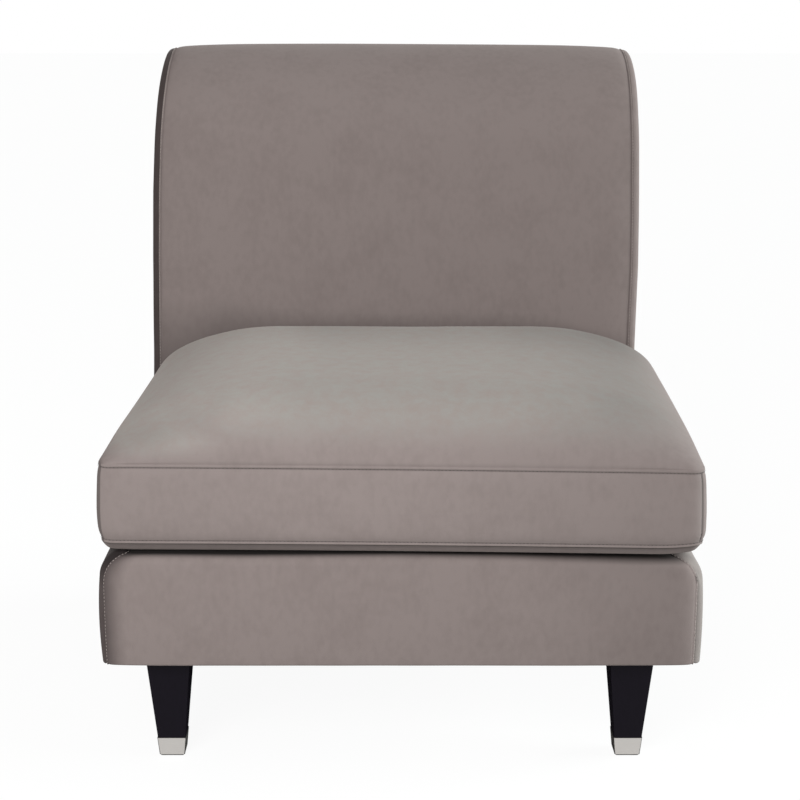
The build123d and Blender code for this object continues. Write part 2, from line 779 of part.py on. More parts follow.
def zip_slider():
    """Slider: two plates joined by a post that runs between the rows, with a loop for a hook."""
    x = (SLIDER_X - SLIDER_LENGTH / 2, SLIDER_X + SLIDER_LENGTH / 2)
    z = (ZIP_Z - SLIDER_WIDTH / 2, ZIP_Z + SLIDER_WIDTH / 2)
    outer = ZIP_OUTER_Y + SLIDER_CLEARANCE
    inner = ZIP_INNER_Y - SLIDER_CLEARANCE
    body = block(x, (outer, outer + SLIDER_WALL), z)
    body += block(x, (inner - SLIDER_WALL, inner), z)
    post = SLIDER_POST_LENGTH / 2
    post_z = (ZIP_Z - SLIDER_POST / 2, ZIP_Z + SLIDER_POST / 2)
    body += block((SLIDER_X - post, SLIDER_X + post), (inner, outer), post_z)
    seat = outer + SLIDER_WALL
    loop_z = (ZIP_Z - LOOP_WIDTH / 2, ZIP_Z + LOOP_WIDTH / 2)
    half = LOOP_LENGTH / 2
    body += block((SLIDER_X - half, SLIDER_X + half), (seat, seat + LOOP_HEIGHT), loop_z)
    hole = half - (LOOP_HEIGHT - LOOP_HOLE)
    return body - block((SLIDER_X - hole, SLIDER_X + hole), (seat, seat + LOOP_HOLE), loop_z)


# All the pieces by name

parts = {}

rails = {"front_rail": front_rail(), "rear_rail": rear_rail()}
for name, rail in rails.items():
    for hole in clip_holes():
        rail -= hole
    parts[name] = rail

for side, piece in right_and_left(side_rail()).items():
    parts[f"side_rail_{side}"] = piece

for end in LEG_YS:
    for side, piece in right_and_left(corner_block(end == "rear")).items():
        for hole in leg_holes():
            piece -= hole
        parts[f"corner_block_{end}_{side}"] = piece

for side, piece in right_and_left(back_post()).items():
    parts[f"back_post_{side}"] = piece

parts["back_lower_rail"] = straight_back_rail(LOWER_RAIL_RISE)
parts["back_middle_rail"] = straight_back_rail(MIDDLE_RAIL_RISE)
parts["back_top_rail"] = back_top_rail()

for number in range(WEBBING_COUNT):
    x = WEBBING_STEP * (number - (WEBBING_COUNT - 1) / 2)
    parts[f"back_webbing_{number + 1}"] = back_webbing(x)

parts["back_foam"] = back_foam()
parts["back_front_cover"] = back_front_cover()
parts["outside_back_panel"] = outside_back_panel()
parts["outside_back_cover"] = outside_back_cover()
parts["base_front_pad"] = front_form(SOFT)
parts["base_front_cover"] = base_front_cover()
parts["deck_pad"] = deck_pad()
parts["deck_cover"] = deck_cover()
parts["dust_cover"] = dust_cover()

sided = {
    "back_side_pad": back_side_pad(),
    "back_side_cover": back_side_cover(),
    "base_side_pad": side_form(SOFT),
    "base_side_cover": base_side_cover(),
}
for name, right in sided.items():
    for side, piece in right_and_left(right).items():
        parts[f"{name}_{side}"] = piece

for number, x in enumerate(SPRING_XS, 1):
    parts[f"seat_spring_{number}"] = seat_spring(x)

parts["spring_clips"] = Compound([spring_clip(*at) for at in CLIP_PLACES])
parts["clip_nails"] = Compound([clip_nail(*at) for at in CLIP_PLACES])

for place, at in LEG_PLACES.items():
    parts[f"leg_{place}"] = leg(*at)
    parts[f"ferrule_{place}"] = ferrule(*at)

parts["glides"] = Compound([glide(*at) for at in LEG_PLACES.values()])
parts["leg_plates"] = Compound([leg_plate(*at) for at in LEG_PLACES.values()])
parts["plate_screws"] = Compound([plate_screw(*at) for at in screw_places()])
parts["hanger_bolts"] = Compound([hanger_bolt(*at) for at in LEG_PLACES.values()])

parts["cushion_core"] = cushion_core()
parts["cushion_top_panel"] = crown_form(0.0) - crown_form(CLOTH)
parts["cushion_bottom_panel"] = belly_form(0.0) - belly_form(CLOTH)
parts["cushion_boxing"] = cushion_boxing()
parts["zip_rows"] = Compound(zip_rows())
parts["zip_slider"] = zip_slider()

# The origin is on the floor, in the middle of the chair's width and of its depth
rear_most = NOSE_CENTRE.X + NOSE_R + BACK_CROWN
to_middle = Pos(0, -(CUSHION_FRONT + rear_most) / 2, 0)

os.makedirs("parts", exist_ok=True)
for name, shape in parts.items():
    export_step(to_middle * shape, f"parts/{name}.step")
print(len(parts), "pieces, depth", round(rear_most - CUSHION_FRONT, 1), "height", BACK_TOP + BACK_CROWN)
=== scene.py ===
# %% [markdown]
# # An armless occasional chair, dressed in velvet
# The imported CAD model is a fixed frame: it says where every rail, leg and pad is.
# This lesson dresses that frame. The hard pieces keep their CAD shape and get a finish.
# The soft ones (cushion, back, bands, base) are made again as padded covers with seams.

# %% Load the frame
import math
import bmesh
import bpy
import numpy as np
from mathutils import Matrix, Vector, noise


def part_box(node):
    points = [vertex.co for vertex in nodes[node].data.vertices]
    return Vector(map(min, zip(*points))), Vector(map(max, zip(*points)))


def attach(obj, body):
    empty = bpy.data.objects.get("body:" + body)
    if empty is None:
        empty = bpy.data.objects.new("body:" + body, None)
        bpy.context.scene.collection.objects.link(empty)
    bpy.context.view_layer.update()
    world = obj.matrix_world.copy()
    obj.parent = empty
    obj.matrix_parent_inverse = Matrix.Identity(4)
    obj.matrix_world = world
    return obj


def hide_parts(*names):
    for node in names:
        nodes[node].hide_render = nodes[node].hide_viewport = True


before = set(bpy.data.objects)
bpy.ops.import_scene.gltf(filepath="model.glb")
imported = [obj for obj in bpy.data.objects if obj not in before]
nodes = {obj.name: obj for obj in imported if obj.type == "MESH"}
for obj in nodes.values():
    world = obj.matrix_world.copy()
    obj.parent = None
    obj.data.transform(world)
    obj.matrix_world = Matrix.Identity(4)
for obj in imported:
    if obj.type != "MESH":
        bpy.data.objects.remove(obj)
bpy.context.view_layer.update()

# %% [markdown]
# ## Millimetres and the drawing
# Upholsterers think in millimetres, and the chair was drawn with Y = 0 at the front of its base.
# Blender works in metres about the frame's own origin, so one function takes points across.

# %% From the drawing to the frame
DRAWN_MIDDLE = 446.256


def to_frame(points):
    """Points in drawing millimetres, as points of the frame in metres."""
    return (np.asarray(points, float) - (0, DRAWN_MIDDLE, 0)) * 0.001


def drawn_box(name):
    """Lowest and highest corner of a CAD node, in drawing millimetres."""
    return [np.array(corner) * 1000 + (0, DRAWN_MIDDLE, 0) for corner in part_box(name)]


print("front of the legs in the drawing:", drawn_box("leg_front_left")[0][1].round(2), "mm")

# %% [markdown]
# ## Adding nodes
# Every finish below is a small node tree. One function adds a node, gives it its settings, and fills
# each input with a value or with a link from an earlier node. A colour ramp also gets its stops.
# Blender calls a noise texture ShaderNodeTexNoise; the function adds the first part of such names.

# %% One helper for all node trees


def linear(hex_colour):
    """An sRGB hex colour as the linear colour that Blender shades with."""
    shares = [int(hex_colour[i : i + 2], 16) / 255 for i in (1, 3, 5)]
    return [s / 12.92 if s <= 0.04045 else ((s + 0.055) / 1.055) ** 2.4 for s in shares] + [1.0]


def add(tree, kind, inputs=None, stops=(), **settings):
    """One node of a tree: its settings, a value or a link for each input, the stops of a colour ramp."""
    node = tree.nodes.new(kind if "Node" in kind else "ShaderNode" + kind)
    for key, value in settings.items():
        setattr(node, key, value)
    for key, value in (inputs or {}).items():
        if isinstance(value, bpy.types.Node):
            value = next(output for output in value.outputs if output.enabled)
        if isinstance(value, bpy.types.NodeSocket):
            tree.links.new(value, node.inputs[key])
        else:
            node.inputs[key].default_value = value
    for i, (position, colour) in enumerate(stops):
        node.color_ramp.elements[i].position = position
        node.color_ramp.elements[i].color = linear(colour)
    return node


def finish_named(name):
    """A new empty material, its node tree and its Object coordinates."""
    made = bpy.data.materials.new(name)
    made.use_nodes = True
    made.node_tree.nodes.clear()
    place = add(made.node_tree, "TexCoord").outputs["Object"]
    return made, made.node_tree, place


def per_metre(millimetres):
    """Texture scale that gives a pattern of that size."""
    return 1000.0 / millimetres


print("taupe in linear light:", [round(c, 3) for c in linear("#8C827E")[:3]])

# %% [markdown]
# ## Velvet
# The cover is a cut-pile polyester velvet in a warm taupe grey. Its upright pile scatters light,
# so the face looks matt, its edges glow, and each stroke of a hand leaves a lighter or darker mark.
# Sheen gives the glow, a slow noise gives the brush marks, and a fine noise gives the pile.
# Where a side lies in shade or a top takes the sheen, a second tone is painted in: painted shade on the left
# sides, a paler, greyer painted sheen on the cushion's top, a paler painted light on the base's right side; a
# mesh attribute says where. In seams, in creases, under the cushion and on the back just above the seat,
# shade is painted in nearly black; a second attribute says where.
# The real pile is about 0.3 mm; it is drawn at 1.1 mm, because a finer one wouldn't show.

# %% Velvet finish


def velvet(name, shade, stroke, painted_tone, painted_tone_stroke, sheen):
    """Cut-pile velvet: a tone and its stroke marks, painted light and shade where attributes say, its edge
    glow.
    """
    made, tree, place = finish_named(name)
    marks = add(tree, "TexNoise", {"Vector": place, "Scale": per_metre(60), "Detail": 5.0, "Roughness": 0.6})
    lean = add(tree, "Mapping", {"Vector": place, "Scale": (1.0, 1.0, 0.6)})
    nap = add(tree, "TexNoise", {"Vector": lean, "Scale": per_metre(9), "Detail": 3.0})
    both = add(tree, "Math", {0: nap, 1: 0.8, 2: marks}, operation="MULTIPLY_ADD")
    facing = add(tree, "ValToRGB", {"Fac": both}, [(0.62, shade), (1.0, stroke)])
    patchy = {"Vector": place, "Scale": per_metre(18), "Detail": 6.0, "Roughness": 0.74}
    patches = add(tree, "TexNoise", patchy)
    painted_tones = add(tree, "ValToRGB", {"Fac": patches}, [(0.38, painted_tone), (0.66, painted_tone_stroke)])
    # Painted light and shade: the first attribute mixes in the painted tone of light and shade, the second a
    # near-black painted shade
    painted_light_and_shade = add(tree, "Attribute", attribute_name="painted_light_and_shade").outputs["Fac"]
    painted_shade = add(tree, "Attribute", attribute_name="painted_shade").outputs["Fac"]
    tone = add(tree, "Mix", {"Factor": painted_light_and_shade, "A": facing, "B": painted_tones}, data_type="RGBA")
    with_painted_shade = add(tree, "Mix", {"Factor": painted_shade, "A": tone, "B": linear("#0F0C0C")}, data_type="RGBA")
    pile = add(tree, "TexNoise", {"Vector": place, "Scale": per_metre(1.1), "Detail": 2.0})
    look = {
        "Base Color": with_painted_shade,
        "Roughness": add(tree, "MapRange", {"Value": marks, "To Min": 0.82, "To Max": 0.96}),
        "Normal": add(tree, "Bump", {"Height": pile, "Strength": 0.22, "Distance": 0.0006}),
        "Sheen Weight": sheen,
        "Sheen Roughness": 0.42,
        "Sheen Tint": linear("#D9CFC9"),
        "Specular IOR Level": 0.15,
    }
    add(tree, "OutputMaterial", {"Surface": add(tree, "BsdfPrincipled", look)})
    return made


# One velvet covers every piece; the back's and the base's copies are a little darker than the cushion's, as
# painted shade. The last two tones of each are painted light and shade: a paler, greyer painted sheen for the
# cushion's top, dark painted shade for the left sides of the back and the base, a paler painted light for the
# base's right side.
velvet_cushion = velvet("velvet_cushion", "#857A77", "#8B807D", "#9E9A95", "#9D928D", 0.12)
velvet_back = velvet("velvet_back", "#7D726F", "#837875", "#413938", "#453D3C", 0.10)
velvet_base = velvet("velvet_base", "#7F7471", "#857A77", "#4C4443", "#504847", 0.10)
# A copy of the base velvet whose second tones are paler: painted light for the base's right side.
velvet_base_painted_lit = velvet("velvet_base_painted_lit", "#7F7471", "#857A77", "#8F8885", "#928B87", 0.10)
print("velvets:", velvet_cushion.name, velvet_back.name, velvet_base.name)

# %% [markdown]
# ## Finishes of the hard pieces
# The other materials show two close tones that follow a fine grain. Roughness follows the grain too,
# and so does a slight relief, so one function makes them all from the size of the grain.
# The legs are beech under black lacquer: almost black, a soft gloss, the long pores of the wood just
# felt through the film. The ferrules are brass plated with satin nickel, brushed round, warmer than
# steel. Inside are sawn pine with straight grain, brown hardboard, dark spring wire and zinc plate.
# Spun-bonded dust cloth is pressed with small dots, about 2 mm apart, that catch the light.

# %% Two-toned finishes


def two_toned(
    name, tones, rough, grain, bump=None, stretch=None, ends=(0.0, 1.0), dots=None, look=None, **pattern
):
    """A finish in two tones of a grain that many millimetres long, with its relief or pressed dots."""
    made, tree, place = finish_named(name)
    if stretch:
        place = add(tree, "Mapping", {"Vector": place, "Scale": stretch})
    grains = add(tree, "TexNoise", {"Vector": place, "Scale": per_metre(grain), **pattern})
    if isinstance(rough, tuple):
        rough = add(tree, "MapRange", {"Value": grains, "To Min": rough[0], "To Max": rough[1]})
    tone = add(tree, "ValToRGB", {"Fac": grains}, zip(ends, tones))
    look = {"Base Color": tone, "Roughness": rough, **(look or {})}
    height = grains
    if dots:
        height = add(tree, "TexVoronoi", {"Vector": place, "Scale": per_metre(dots), "Randomness": 0.15})
    if bump:
        look["Normal"] = add(tree, "Bump", {"Height": height, "Strength": bump[0], "Distance": bump[1]})
    add(tree, "OutputMaterial", {"Surface": add(tree, "BsdfPrincipled", look)})
    return made


# Almost black with a violet tinge; only a broad dull shine shows on the flat sides
thin_coat = {"Specular IOR Level": 0.07, "Coat Weight": 0.015, "Coat Roughness": 0.18}
pores = {"bump": (0.08, 0.0003), "stretch": (1.0, 1.0, 0.06), "look": thin_coat, "Detail": 3.0}
lacquer = two_toned("black_lacquered_beech", ("#0D0A10", "#130F18"), (0.38, 0.5), 1.6, **pores)
# Even warm grey, with fine lines round the foot
round_foot = {"bump": (0.12, 0.0001), "stretch": (0.05, 0.05, 1.0), "look": {"Metallic": 1.0}, "Detail": 3.0}
nickel = two_toned("satin_nickel_plate", ("#BBB7B3", "#C5C2BE"), (0.26, 0.40), 0.9, **round_foot)
# Bluish grey, dark and warm grey metals with faint wear
worn_metal = {"look": {"Metallic": 1.0}, "Detail": 6.0, "Roughness": 0.6}
zinc_steel = two_toned("zinc_plated_steel", ("#8F9296", "#B9BCC0"), (0.31, 0.45), 6, **worn_metal)
spring_wire = two_toned("oil_tempered_wire", ("#3A3B3D", "#55575A"), (0.35, 0.49), 8, **worn_metal)
slider_metal = two_toned("nickel_zip_slider", ("#9A968F", "#BDB8B0"), (0.23, 0.37), 3, **worn_metal)
# Smooth plastics, a taupe one and a black one, with a faint mottle
moulded = {"bump": (0.1, 0.0002), "look": {"IOR": 1.5}, "Detail": 4.0}
zip_coil = two_toned("polyester_zip_coil", ("#6B615C", "#7F7570"), (0.34, 0.46), 4, **moulded)
glide_nylon = two_toned("moulded_nylon", ("#2A2A2C", "#343437"), (0.44, 0.56), 4, **moulded)
# Dull fibres, black in the cloth and brown in the board
pressed = {"bump": (0.4, 0.0003), "dots": 2.4, "look": {"Specular IOR Level": 0.3}, "Detail": 5.0}
pressed["Roughness"] = 0.7
dust_black = two_toned("spun_bonded_polypropylene", ("#18181A", "#2C2C2F"), 0.85, 3, **pressed)
hardboard = two_toned("brown_hardboard", ("#6B4A30", "#82603F"), 0.85, 3, **pressed)
# Pale wood with darker growth lines along the board
along_board = {"stretch": (0.08, 1.0, 1.0), "ends": (0.35, 0.7), "Detail": 5.0, "Distortion": 0.4}
pine = two_toned("sawn_pine", ("#D8B98C", "#B98F5C"), 0.7, 9, (0.2, 0.0004), **along_board)
print("hard finishes:", lacquer.name, nickel.name, pine.name)

# %% [markdown]
# ## Making a padded cover
# A cover is a grid of points that follows a line of the drawing in one direction and runs from
# seam to seam in the other. Blender could start from a cube and sculpt it; a grid is better here,
# because its columns can lie close together at a seam, where the cloth is folded and stitched.
# A second grid inside it, joined at the rim, closes the cover like a real pad.

# %% Grids and closed covers


def graded(half, near, step):
    """Places from one seam to the other, close together near both."""
    inner = half - near[-1]
    middle = np.linspace(-inner, inner, max(round(2 * inner / step), 2) + 1)
    first = -half + np.array(near[:-1])
    return np.r_[first, middle, -first[::-1]]


def bounded(share):
    """A share kept between 0 and 1."""
    return np.clip(share, 0, 1)


def smooth(share):
    """A share from 0 to 1 that starts and ends gently."""
    share = bounded(share)
    return share**2 * (3 - 2 * share)


def arched(share):
    """A quarter circle, from 0 at a seam to 1."""
    return np.sqrt(1 - (1 - bounded(share)) ** 2)


def bell(place, middle, width):
    """A bell-shaped share, 1 in the middle and nearly 0 two widths away."""
    return np.exp(-(((place - middle) / width) ** 2))


def quads(index):
    """Faces between the neighbours of a grid of vertex numbers."""
    corners = [index[:-1, :-1], index[:-1, 1:], index[1:, 1:], index[1:, :-1]]
    return np.stack(corners, -1).reshape(-1, 4)


def rim_of(index):
    """Vertex numbers round the edge of a grid."""
    return np.r_[index[0, :-1], index[:-1, -1], index[-1, :0:-1], index[:0:-1, 0]]


def placed(name, data):
    """A new object of the scene that holds a mesh, a light or a camera."""
    thing = bpy.data.objects.new(name, data)
    bpy.context.scene.collection.objects.link(thing)
    return thing


def new_piece(name, points, faces, finish, body="chair", slot="velvet"):
    """A smooth mesh object from drawing points and faces, with its finish, riding on a body."""
    mesh = bpy.data.meshes.new(name)
    mesh.from_pydata(to_frame(points).tolist(), [], [list(map(int, f)) for f in faces])
    shell = bmesh.new()
    shell.from_mesh(mesh)
    bmesh.ops.remove_doubles(shell, verts=shell.verts, dist=1e-5)
    bmesh.ops.recalc_face_normals(shell, faces=shell.faces)
    shell.to_mesh(mesh)
    shell.free()
    mesh.polygons.foreach_set("use_smooth", np.ones(len(mesh.polygons), bool))
    mesh.materials.append(finish)
    piece = placed(name, mesh)
    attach(piece, body)
    return piece


def closed_cover(name, outer, inner, finish, **words):
    """A cover from an outer and an inner grid of the same size, joined round their rims."""
    rows, cols = outer.shape[:2]
    index = np.arange(rows * cols).reshape(rows, cols)
    rim = rim_of(index)
    following = np.roll(rim, -1)
    far = rows * cols
    sides = np.stack([rim, rim + far, following + far, following], -1)
    faces = np.r_[quads(index), quads(index)[:, ::-1] + far, sides]
    points = np.r_[outer.reshape(-1, 3), inner.reshape(-1, 3)]
    return new_piece(name, points, faces, finish, **words)


def rounded_off(piece):
    """A subdivision surface that rounds a cover's facets, the same in views and renders."""
    rounding = piece.modifiers.new("rounded", "SUBSURF")
    rounding.levels = rounding.render_levels = 1


def places(piece):
    """A piece's points as an array, in metres."""
    flat = np.zeros(len(piece.data.vertices) * 3, np.float32)
    piece.data.vertices.foreach_get("co", flat)
    return flat.reshape(-1, 3).astype(float)


def upholstered(piece, fill, *stands_for):
    """Hide the CAD nodes that a padded cover stands for and round its facets; fill (how full it is) is not
    used.
    """
    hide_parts(*stands_for)
    rounded_off(piece)
    longest = np.ptp(places(piece), axis=0).max() * 1000
    print(f"{piece.name}: {len(piece.data.polygons)} faces, {longest:.0f} mm at its longest")


def paint_shading(piece, shares, kind="painted_light_and_shade"):
    """Say on each point of a cover how much painted light and shade, or near-black painted shade, its velvet
    takes.
    """
    nap = piece.data.attributes.new(kind, "FLOAT", "POINT")
    nap.data.foreach_set("value", np.broadcast_to(shares, len(piece.data.vertices)).astype(np.float32))


def unevenness(points, size, depth):
    """Slow dents and swells of stuffing, in millimetres, from a fixed noise."""
    heights = [noise.noise(Vector(p) / size) for p in points.reshape(-1, 3)]
    return np.array(heights).reshape(points.shape[:-1]) * depth


print("columns of a cover 740 mm wide:", len(graded(370, [0, 2, 5, 10], 11)))

# %% [markdown]
# ## The line of the back
# Seen from the side, the back is a straight face that leans by 13 degrees, a large arc that rolls
# it rearwards, a small round nose, and a hollow sweep down to a nearly upright outside back.
# The same arcs are in the CAD, so covers that follow them lie exactly on the foam and the frame.

# %% Side view of the back, as points with their outward directions
WIDTH_HALF, SEAM_X = 380.0, 370.0
BASE_BOTTOM, BASE_TOP = 141.0, 289.0
LOW_SEAM, TOP_SEAM = 301.1, 403.0
LEAN, REAR_LEAN = math.radians(13), math.radians(4)
ROLL_R, NOSE_R, SWEEP_R = 200.0, 45.0, 150.0
FACE_POINT = np.array((581.3, TOP_SEAM))
REAR_FOOT = np.array((700.0, BASE_BOTTOM))


def leaning(angle):
    """Directions up along a leaning line of the side view, and square to it towards the rear."""
    return np.array((math.sin(angle), math.cos(angle))), np.array((math.cos(angle), -math.sin(angle)))


up_face, into_back = leaning(LEAN)
up_rear, out_rear = leaning(REAR_LEAN)
ROLL_TOP = 880.0
face_length = (ROLL_TOP - ROLL_R - TOP_SEAM + ROLL_R * math.sin(LEAN)) / math.cos(LEAN)
roll_centre = FACE_POINT + up_face * face_length + into_back * ROLL_R
nose_centre = roll_centre + (0, ROLL_R - NOSE_R)
sweep_base = REAR_FOOT + out_rear * SWEEP_R
to_sweep = sweep_base - nose_centre
along = to_sweep @ up_rear
to_touch = math.sqrt(along**2 - to_sweep @ to_sweep + (SWEEP_R + NOSE_R) ** 2)
sweep_centre = sweep_base + up_rear * (-along - to_touch)
under_nose = math.atan2(*(sweep_centre - nose_centre)[::-1])


def straight(start, end, outward, step=8.0):
    """Points along a straight run, each with its outward direction."""
    count = max(int(np.linalg.norm(np.subtract(end, start)) / step), 2)
    share = np.linspace(0, 1, count + 1)[:, None]
    return np.c_[start + (np.array(end) - start) * share, np.tile(outward, (count + 1, 1))]


def bend(centre, radius, start, end, sign=1, step=8.0):
    """Points round an arc between two angles, each with its outward direction."""
    count = max(int(abs(end - start) * radius / step), 6)
    angle = np.linspace(start, end, count + 1)
    ray = np.c_[np.cos(angle), np.sin(angle)]
    return np.c_[centre + radius * ray, sign * ray]


def joined(*runs):
    """Runs of points end to end, with each shared point kept once."""
    return np.concatenate([runs[0]] + [run[1:] for run in runs[1:]])


def face_at(z):
    """How far back the leaning face is at a height."""
    return FACE_POINT[0] + (z - FACE_POINT[1]) * math.tan(LEAN)


def front_line(bottom, nose_end):
    """From the bottom of the face, over the roll, round the nose to an angle."""
    foot = np.array((face_at(bottom), bottom))
    shoulder = roll_centre - into_back * ROLL_R
    return joined(
        straight(foot, shoulder, -into_back),
        bend(roll_centre, ROLL_R, math.pi - LEAN, math.pi / 2),
        bend(nose_centre, NOSE_R, math.pi / 2, nose_end, step=5.0),
    )


def rear_line(bottom, nose_end):
    """From the bottom of the outside back, up the sweep and round under the nose to an angle."""
    foot = REAR_FOOT + up_rear * (bottom - REAR_FOOT[1]) / up_rear[1]
    waist = sweep_centre - out_rear * SWEEP_R
    return joined(
        straight(foot, waist, out_rear),
        bend(sweep_centre, SWEEP_R, math.pi - REAR_LEAN, under_nose + math.pi, -1),
        bend(nose_centre, NOSE_R, under_nose, nose_end, step=5.0),
    )


def settled(points):
    """Points of the back's covers, pulled in at the left shoulder and low on the right."""
    x, y, z = np.moveaxis(np.asarray(points, float), -1, 0)
    left, right = bounded(-x / SEAM_X) ** 2, bounded(x / SEAM_X) ** 2
    shoulder = np.interp(z, [424, 564, 664, 754, 814, 864], [-1.2, -2.4, -2.0, 0.6, 3.0, 5.0])
    waist = np.interp(z, [240, 330, 404, 474, 544, 624, 780, 864], [0.0, 5.0, 8.0, 5.0, 1.6, 0.2, 0.0, -2.0])
    waist = np.where(waist > 0, waist * bounded((face_at(z) + 60 - y) / 40), waist)
    sag = (0.6 + 2.2 * bounded((x + 100) / 430)) * bounded((z - 724) / 130)
    return np.stack([x + shoulder * left - waist * right, y, z - sag], -1)


print("roll about", roll_centre.round(1), "nose about", nose_centre.round(1))

# %% [markdown]
# ## Letting a cover swell
# Cloth simulation is how padded fabric gets its tension: the cover is held at its seams, pressure
# pushes from inside as foam does, and twenty frames later the cloth has found its own curve.
# The cover starts a little slack and small. How far a point may move is capped, so a pad never
# grows out of its place, and the result is kept as plain mesh, with no Cloth left on the piece.

# %% Swelling by cloth simulation


def swell(piece, held, pressure, slack, cap, frames=20, smoothing=30):
    """Blow up a closed cover whose held points stay, stroke out small wrinkles, and keep the shape."""
    group = piece.vertex_groups.new(name="held")
    group.add(np.flatnonzero(held).tolist(), 1.0, "REPLACE")
    cloth = piece.modifiers.new("cloth", "CLOTH")
    cloth.settings.quality = 6
    cloth.settings.use_pressure = True
    cloth.settings.uniform_pressure_force = pressure
    cloth.settings.shrink_min = -slack
    cloth.settings.bending_stiffness = 2.0
    cloth.settings.vertex_group_mass = group.name
    cloth.settings.effector_weights.gravity = 0.0
    cloth.collision_settings.use_collision = False
    cloth.point_cache.frame_start, cloth.point_cache.frame_end = 1, frames
    before = places(piece)
    for step in range(1, frames + 1):
        bpy.context.scene.frame_set(step)
    seen = piece.evaluated_get(bpy.context.evaluated_depsgraph_get())
    after = np.zeros(len(before) * 3, np.float32)
    seen.data.vertices.foreach_get("co", after)
    move = after.reshape(-1, 3) - before
    ends = np.array([edge.vertices[:] for edge in piece.data.edges])
    for _ in range(smoothing):
        total, count = np.zeros_like(move), np.zeros((len(move), 1))
        for a, b in (ends.T, ends.T[::-1]):
            np.add.at(total, a, move[b])
            np.add.at(count, a, 1)
        move = np.where(held[:, None], move, 0.5 * move + 0.5 * total / np.maximum(count, 1))
    length = np.linalg.norm(move, axis=1, keepdims=True)
    move *= np.minimum(1.0, cap * 0.001 / np.maximum(length, 1e-9))
    piece.modifiers.remove(cloth)
    piece.vertex_groups.remove(group)
    piece.data.vertices.foreach_set("co", (before + move).astype(np.float32).ravel())
    piece.data.update()
    bpy.context.scene.frame_set(1)
    print(f"{piece.name} swelled by up to {length.max() * 1000:.1f} mm, kept to {cap} mm")


print("cloth simulation:", "run")

# %% [markdown]
# ## The inside back
# One piece of velvet runs from the seat up the face, over the roll and under the nose. Its edge is
# turned under and topstitched to the side bands: a narrow raised fold, a furrow where the thread
# pulls down, and then the foam swelling up to the middle. Those are heights above the back's line.

# %% Inside back
SEAM_NEAR = [0, 0.8, 1.6, 2.4, 3.2, 4.0, 5.2, 7.5, 12, 19, 28]


def fold_relief(d):
    """Height of a cover beside its topstitched seam, by distance from the seam."""
    fold = 0.45 * np.sin(np.pi * bounded(d / 3.2))
    furrow = -0.7 * bell(d, 3.9, 0.9)
    lift = 1.8 * (1 - np.exp(-np.clip(d - 3.9, 0, None) / 22))
    return fold + furrow + lift


def eased(z, d):
    """How far the rolled top eases down at its corners, by height and distance from the seam."""
    return 2.4 * bounded((z - 790) / 70) * bounded(1 - d / 16) ** 2


BACK_CROWN = 5.0
back_columns = graded(SEAM_X, SEAM_NEAR, 12)
back_run = front_line(BASE_TOP + 0.3, under_nose)


def back_points(x, run, height):
    """Points over the back: places across it, a side-view run, heights above that run."""
    x, y = np.broadcast_arrays(np.asarray(x)[None, :], run[:, :1])
    z = np.broadcast_to(run[:, 1:2], y.shape)
    return np.stack([x, y + run[:, 2:3] * height, z + run[:, 3:4] * height], -1)


edge_distance = SEAM_X - np.abs(back_columns)
back_height = fold_relief(edge_distance) + 0.6 * BACK_CROWN * (1 - (back_columns / SEAM_X) ** 4) - 0.6
back_height = back_height - eased(back_run[:, 1:2], edge_distance)
back_outer = settled(back_points(back_columns, back_run, back_height))
back_inner = settled(back_points(back_columns * 0.985, back_run, np.full((1, len(back_columns)), -36.0)))
inside_back = closed_cover("inside_back", back_outer, back_inner, velvet_back)
by_seam = np.tile(edge_distance < 7.0, len(back_run))
swell(inside_back, np.r_[by_seam, np.ones(by_seam.size, bool)], pressure=2.0, slack=0.0005, cap=1.2)
# Painted shade, nearly black: in the furrow beside each seam, deeper on the right, and a painted contact
# shadow on the face just above the seat, deepest at the left.
furrow = bell(edge_distance, 4.0, 1.0) * np.where(back_columns > 0, 0.42, 0.25)
seat_line = np.interp(np.abs(back_columns), [0, 160, 235, 268, 300, 340], [459, 457, 450, 441, 420, 400])
above = back_run[:, 1:2] - seat_line
shade_at = [-360, -300, -230, -160, 0, 300]
fade = np.interp(back_columns, shade_at, [110, 85, 45, 28, 22, 30])
contact_shade = np.interp(back_columns, shade_at, [0.45, 0.42, 0.36, 0.28, 0.25, 0.24])
contact_shade = contact_shade * bounded(1 - above / fade) * np.clip(1 + (above + 20) / 60, 0.3, 1)
paint_shading(inside_back, np.tile(np.maximum(furrow, contact_shade), (2, 1)).ravel(), "painted_shade")
upholstered(inside_back, 0.85, "back_front_cover", "back_foam")

# %% [markdown]
# ## The side bands of the back
# A band of velvet over thin padding closes each side. It bulges about 10 mm past the seam, with a
# round edge. Its outline is a bent strip that ends in the nose, so the grid is a ladder of straight
# rungs from the front line to the rear line, and each point's bulge comes from its distance to the rim.

# %% Side bands
NOSE_TIP = under_nose / 2 + math.pi / 4
RUNGS_UP, RUNGS_IN_NOSE = 110, 26
RUNG_NEAR = np.array([0, 0.8, 2.0, 3.6, 5.6, 8.2, 11.5, 16.0])


def evenly(line, count):
    """A line's points, spaced evenly again."""
    run = np.r_[0, np.cumsum(np.linalg.norm(np.diff(line[:, :2], axis=0), axis=1))]
    at = np.linspace(0, run[-1], count)
    return np.stack([np.interp(at, run, line[:, k]) for k in range(2)], -1)


def ladder():
    """Rungs between the front and rear lines, from the floor of the base to the tip of the nose."""
    fore, aft = front_line(BASE_BOTTOM, NOSE_TIP), rear_line(BASE_BOTTOM, NOSE_TIP)
    crest = int(np.argmax(fore[:, 1]))
    neck = len(aft) - (len(fore) - crest)
    ends = []
    for line, top in ((fore, crest), (aft, neck)):
        ends.append(np.r_[evenly(line[: top + 1], RUNGS_UP)[:-1], evenly(line[top:], RUNGS_IN_NOSE)[:-1]])
    return *ends, np.concatenate([fore[:, :2], aft[::-1, :2]])


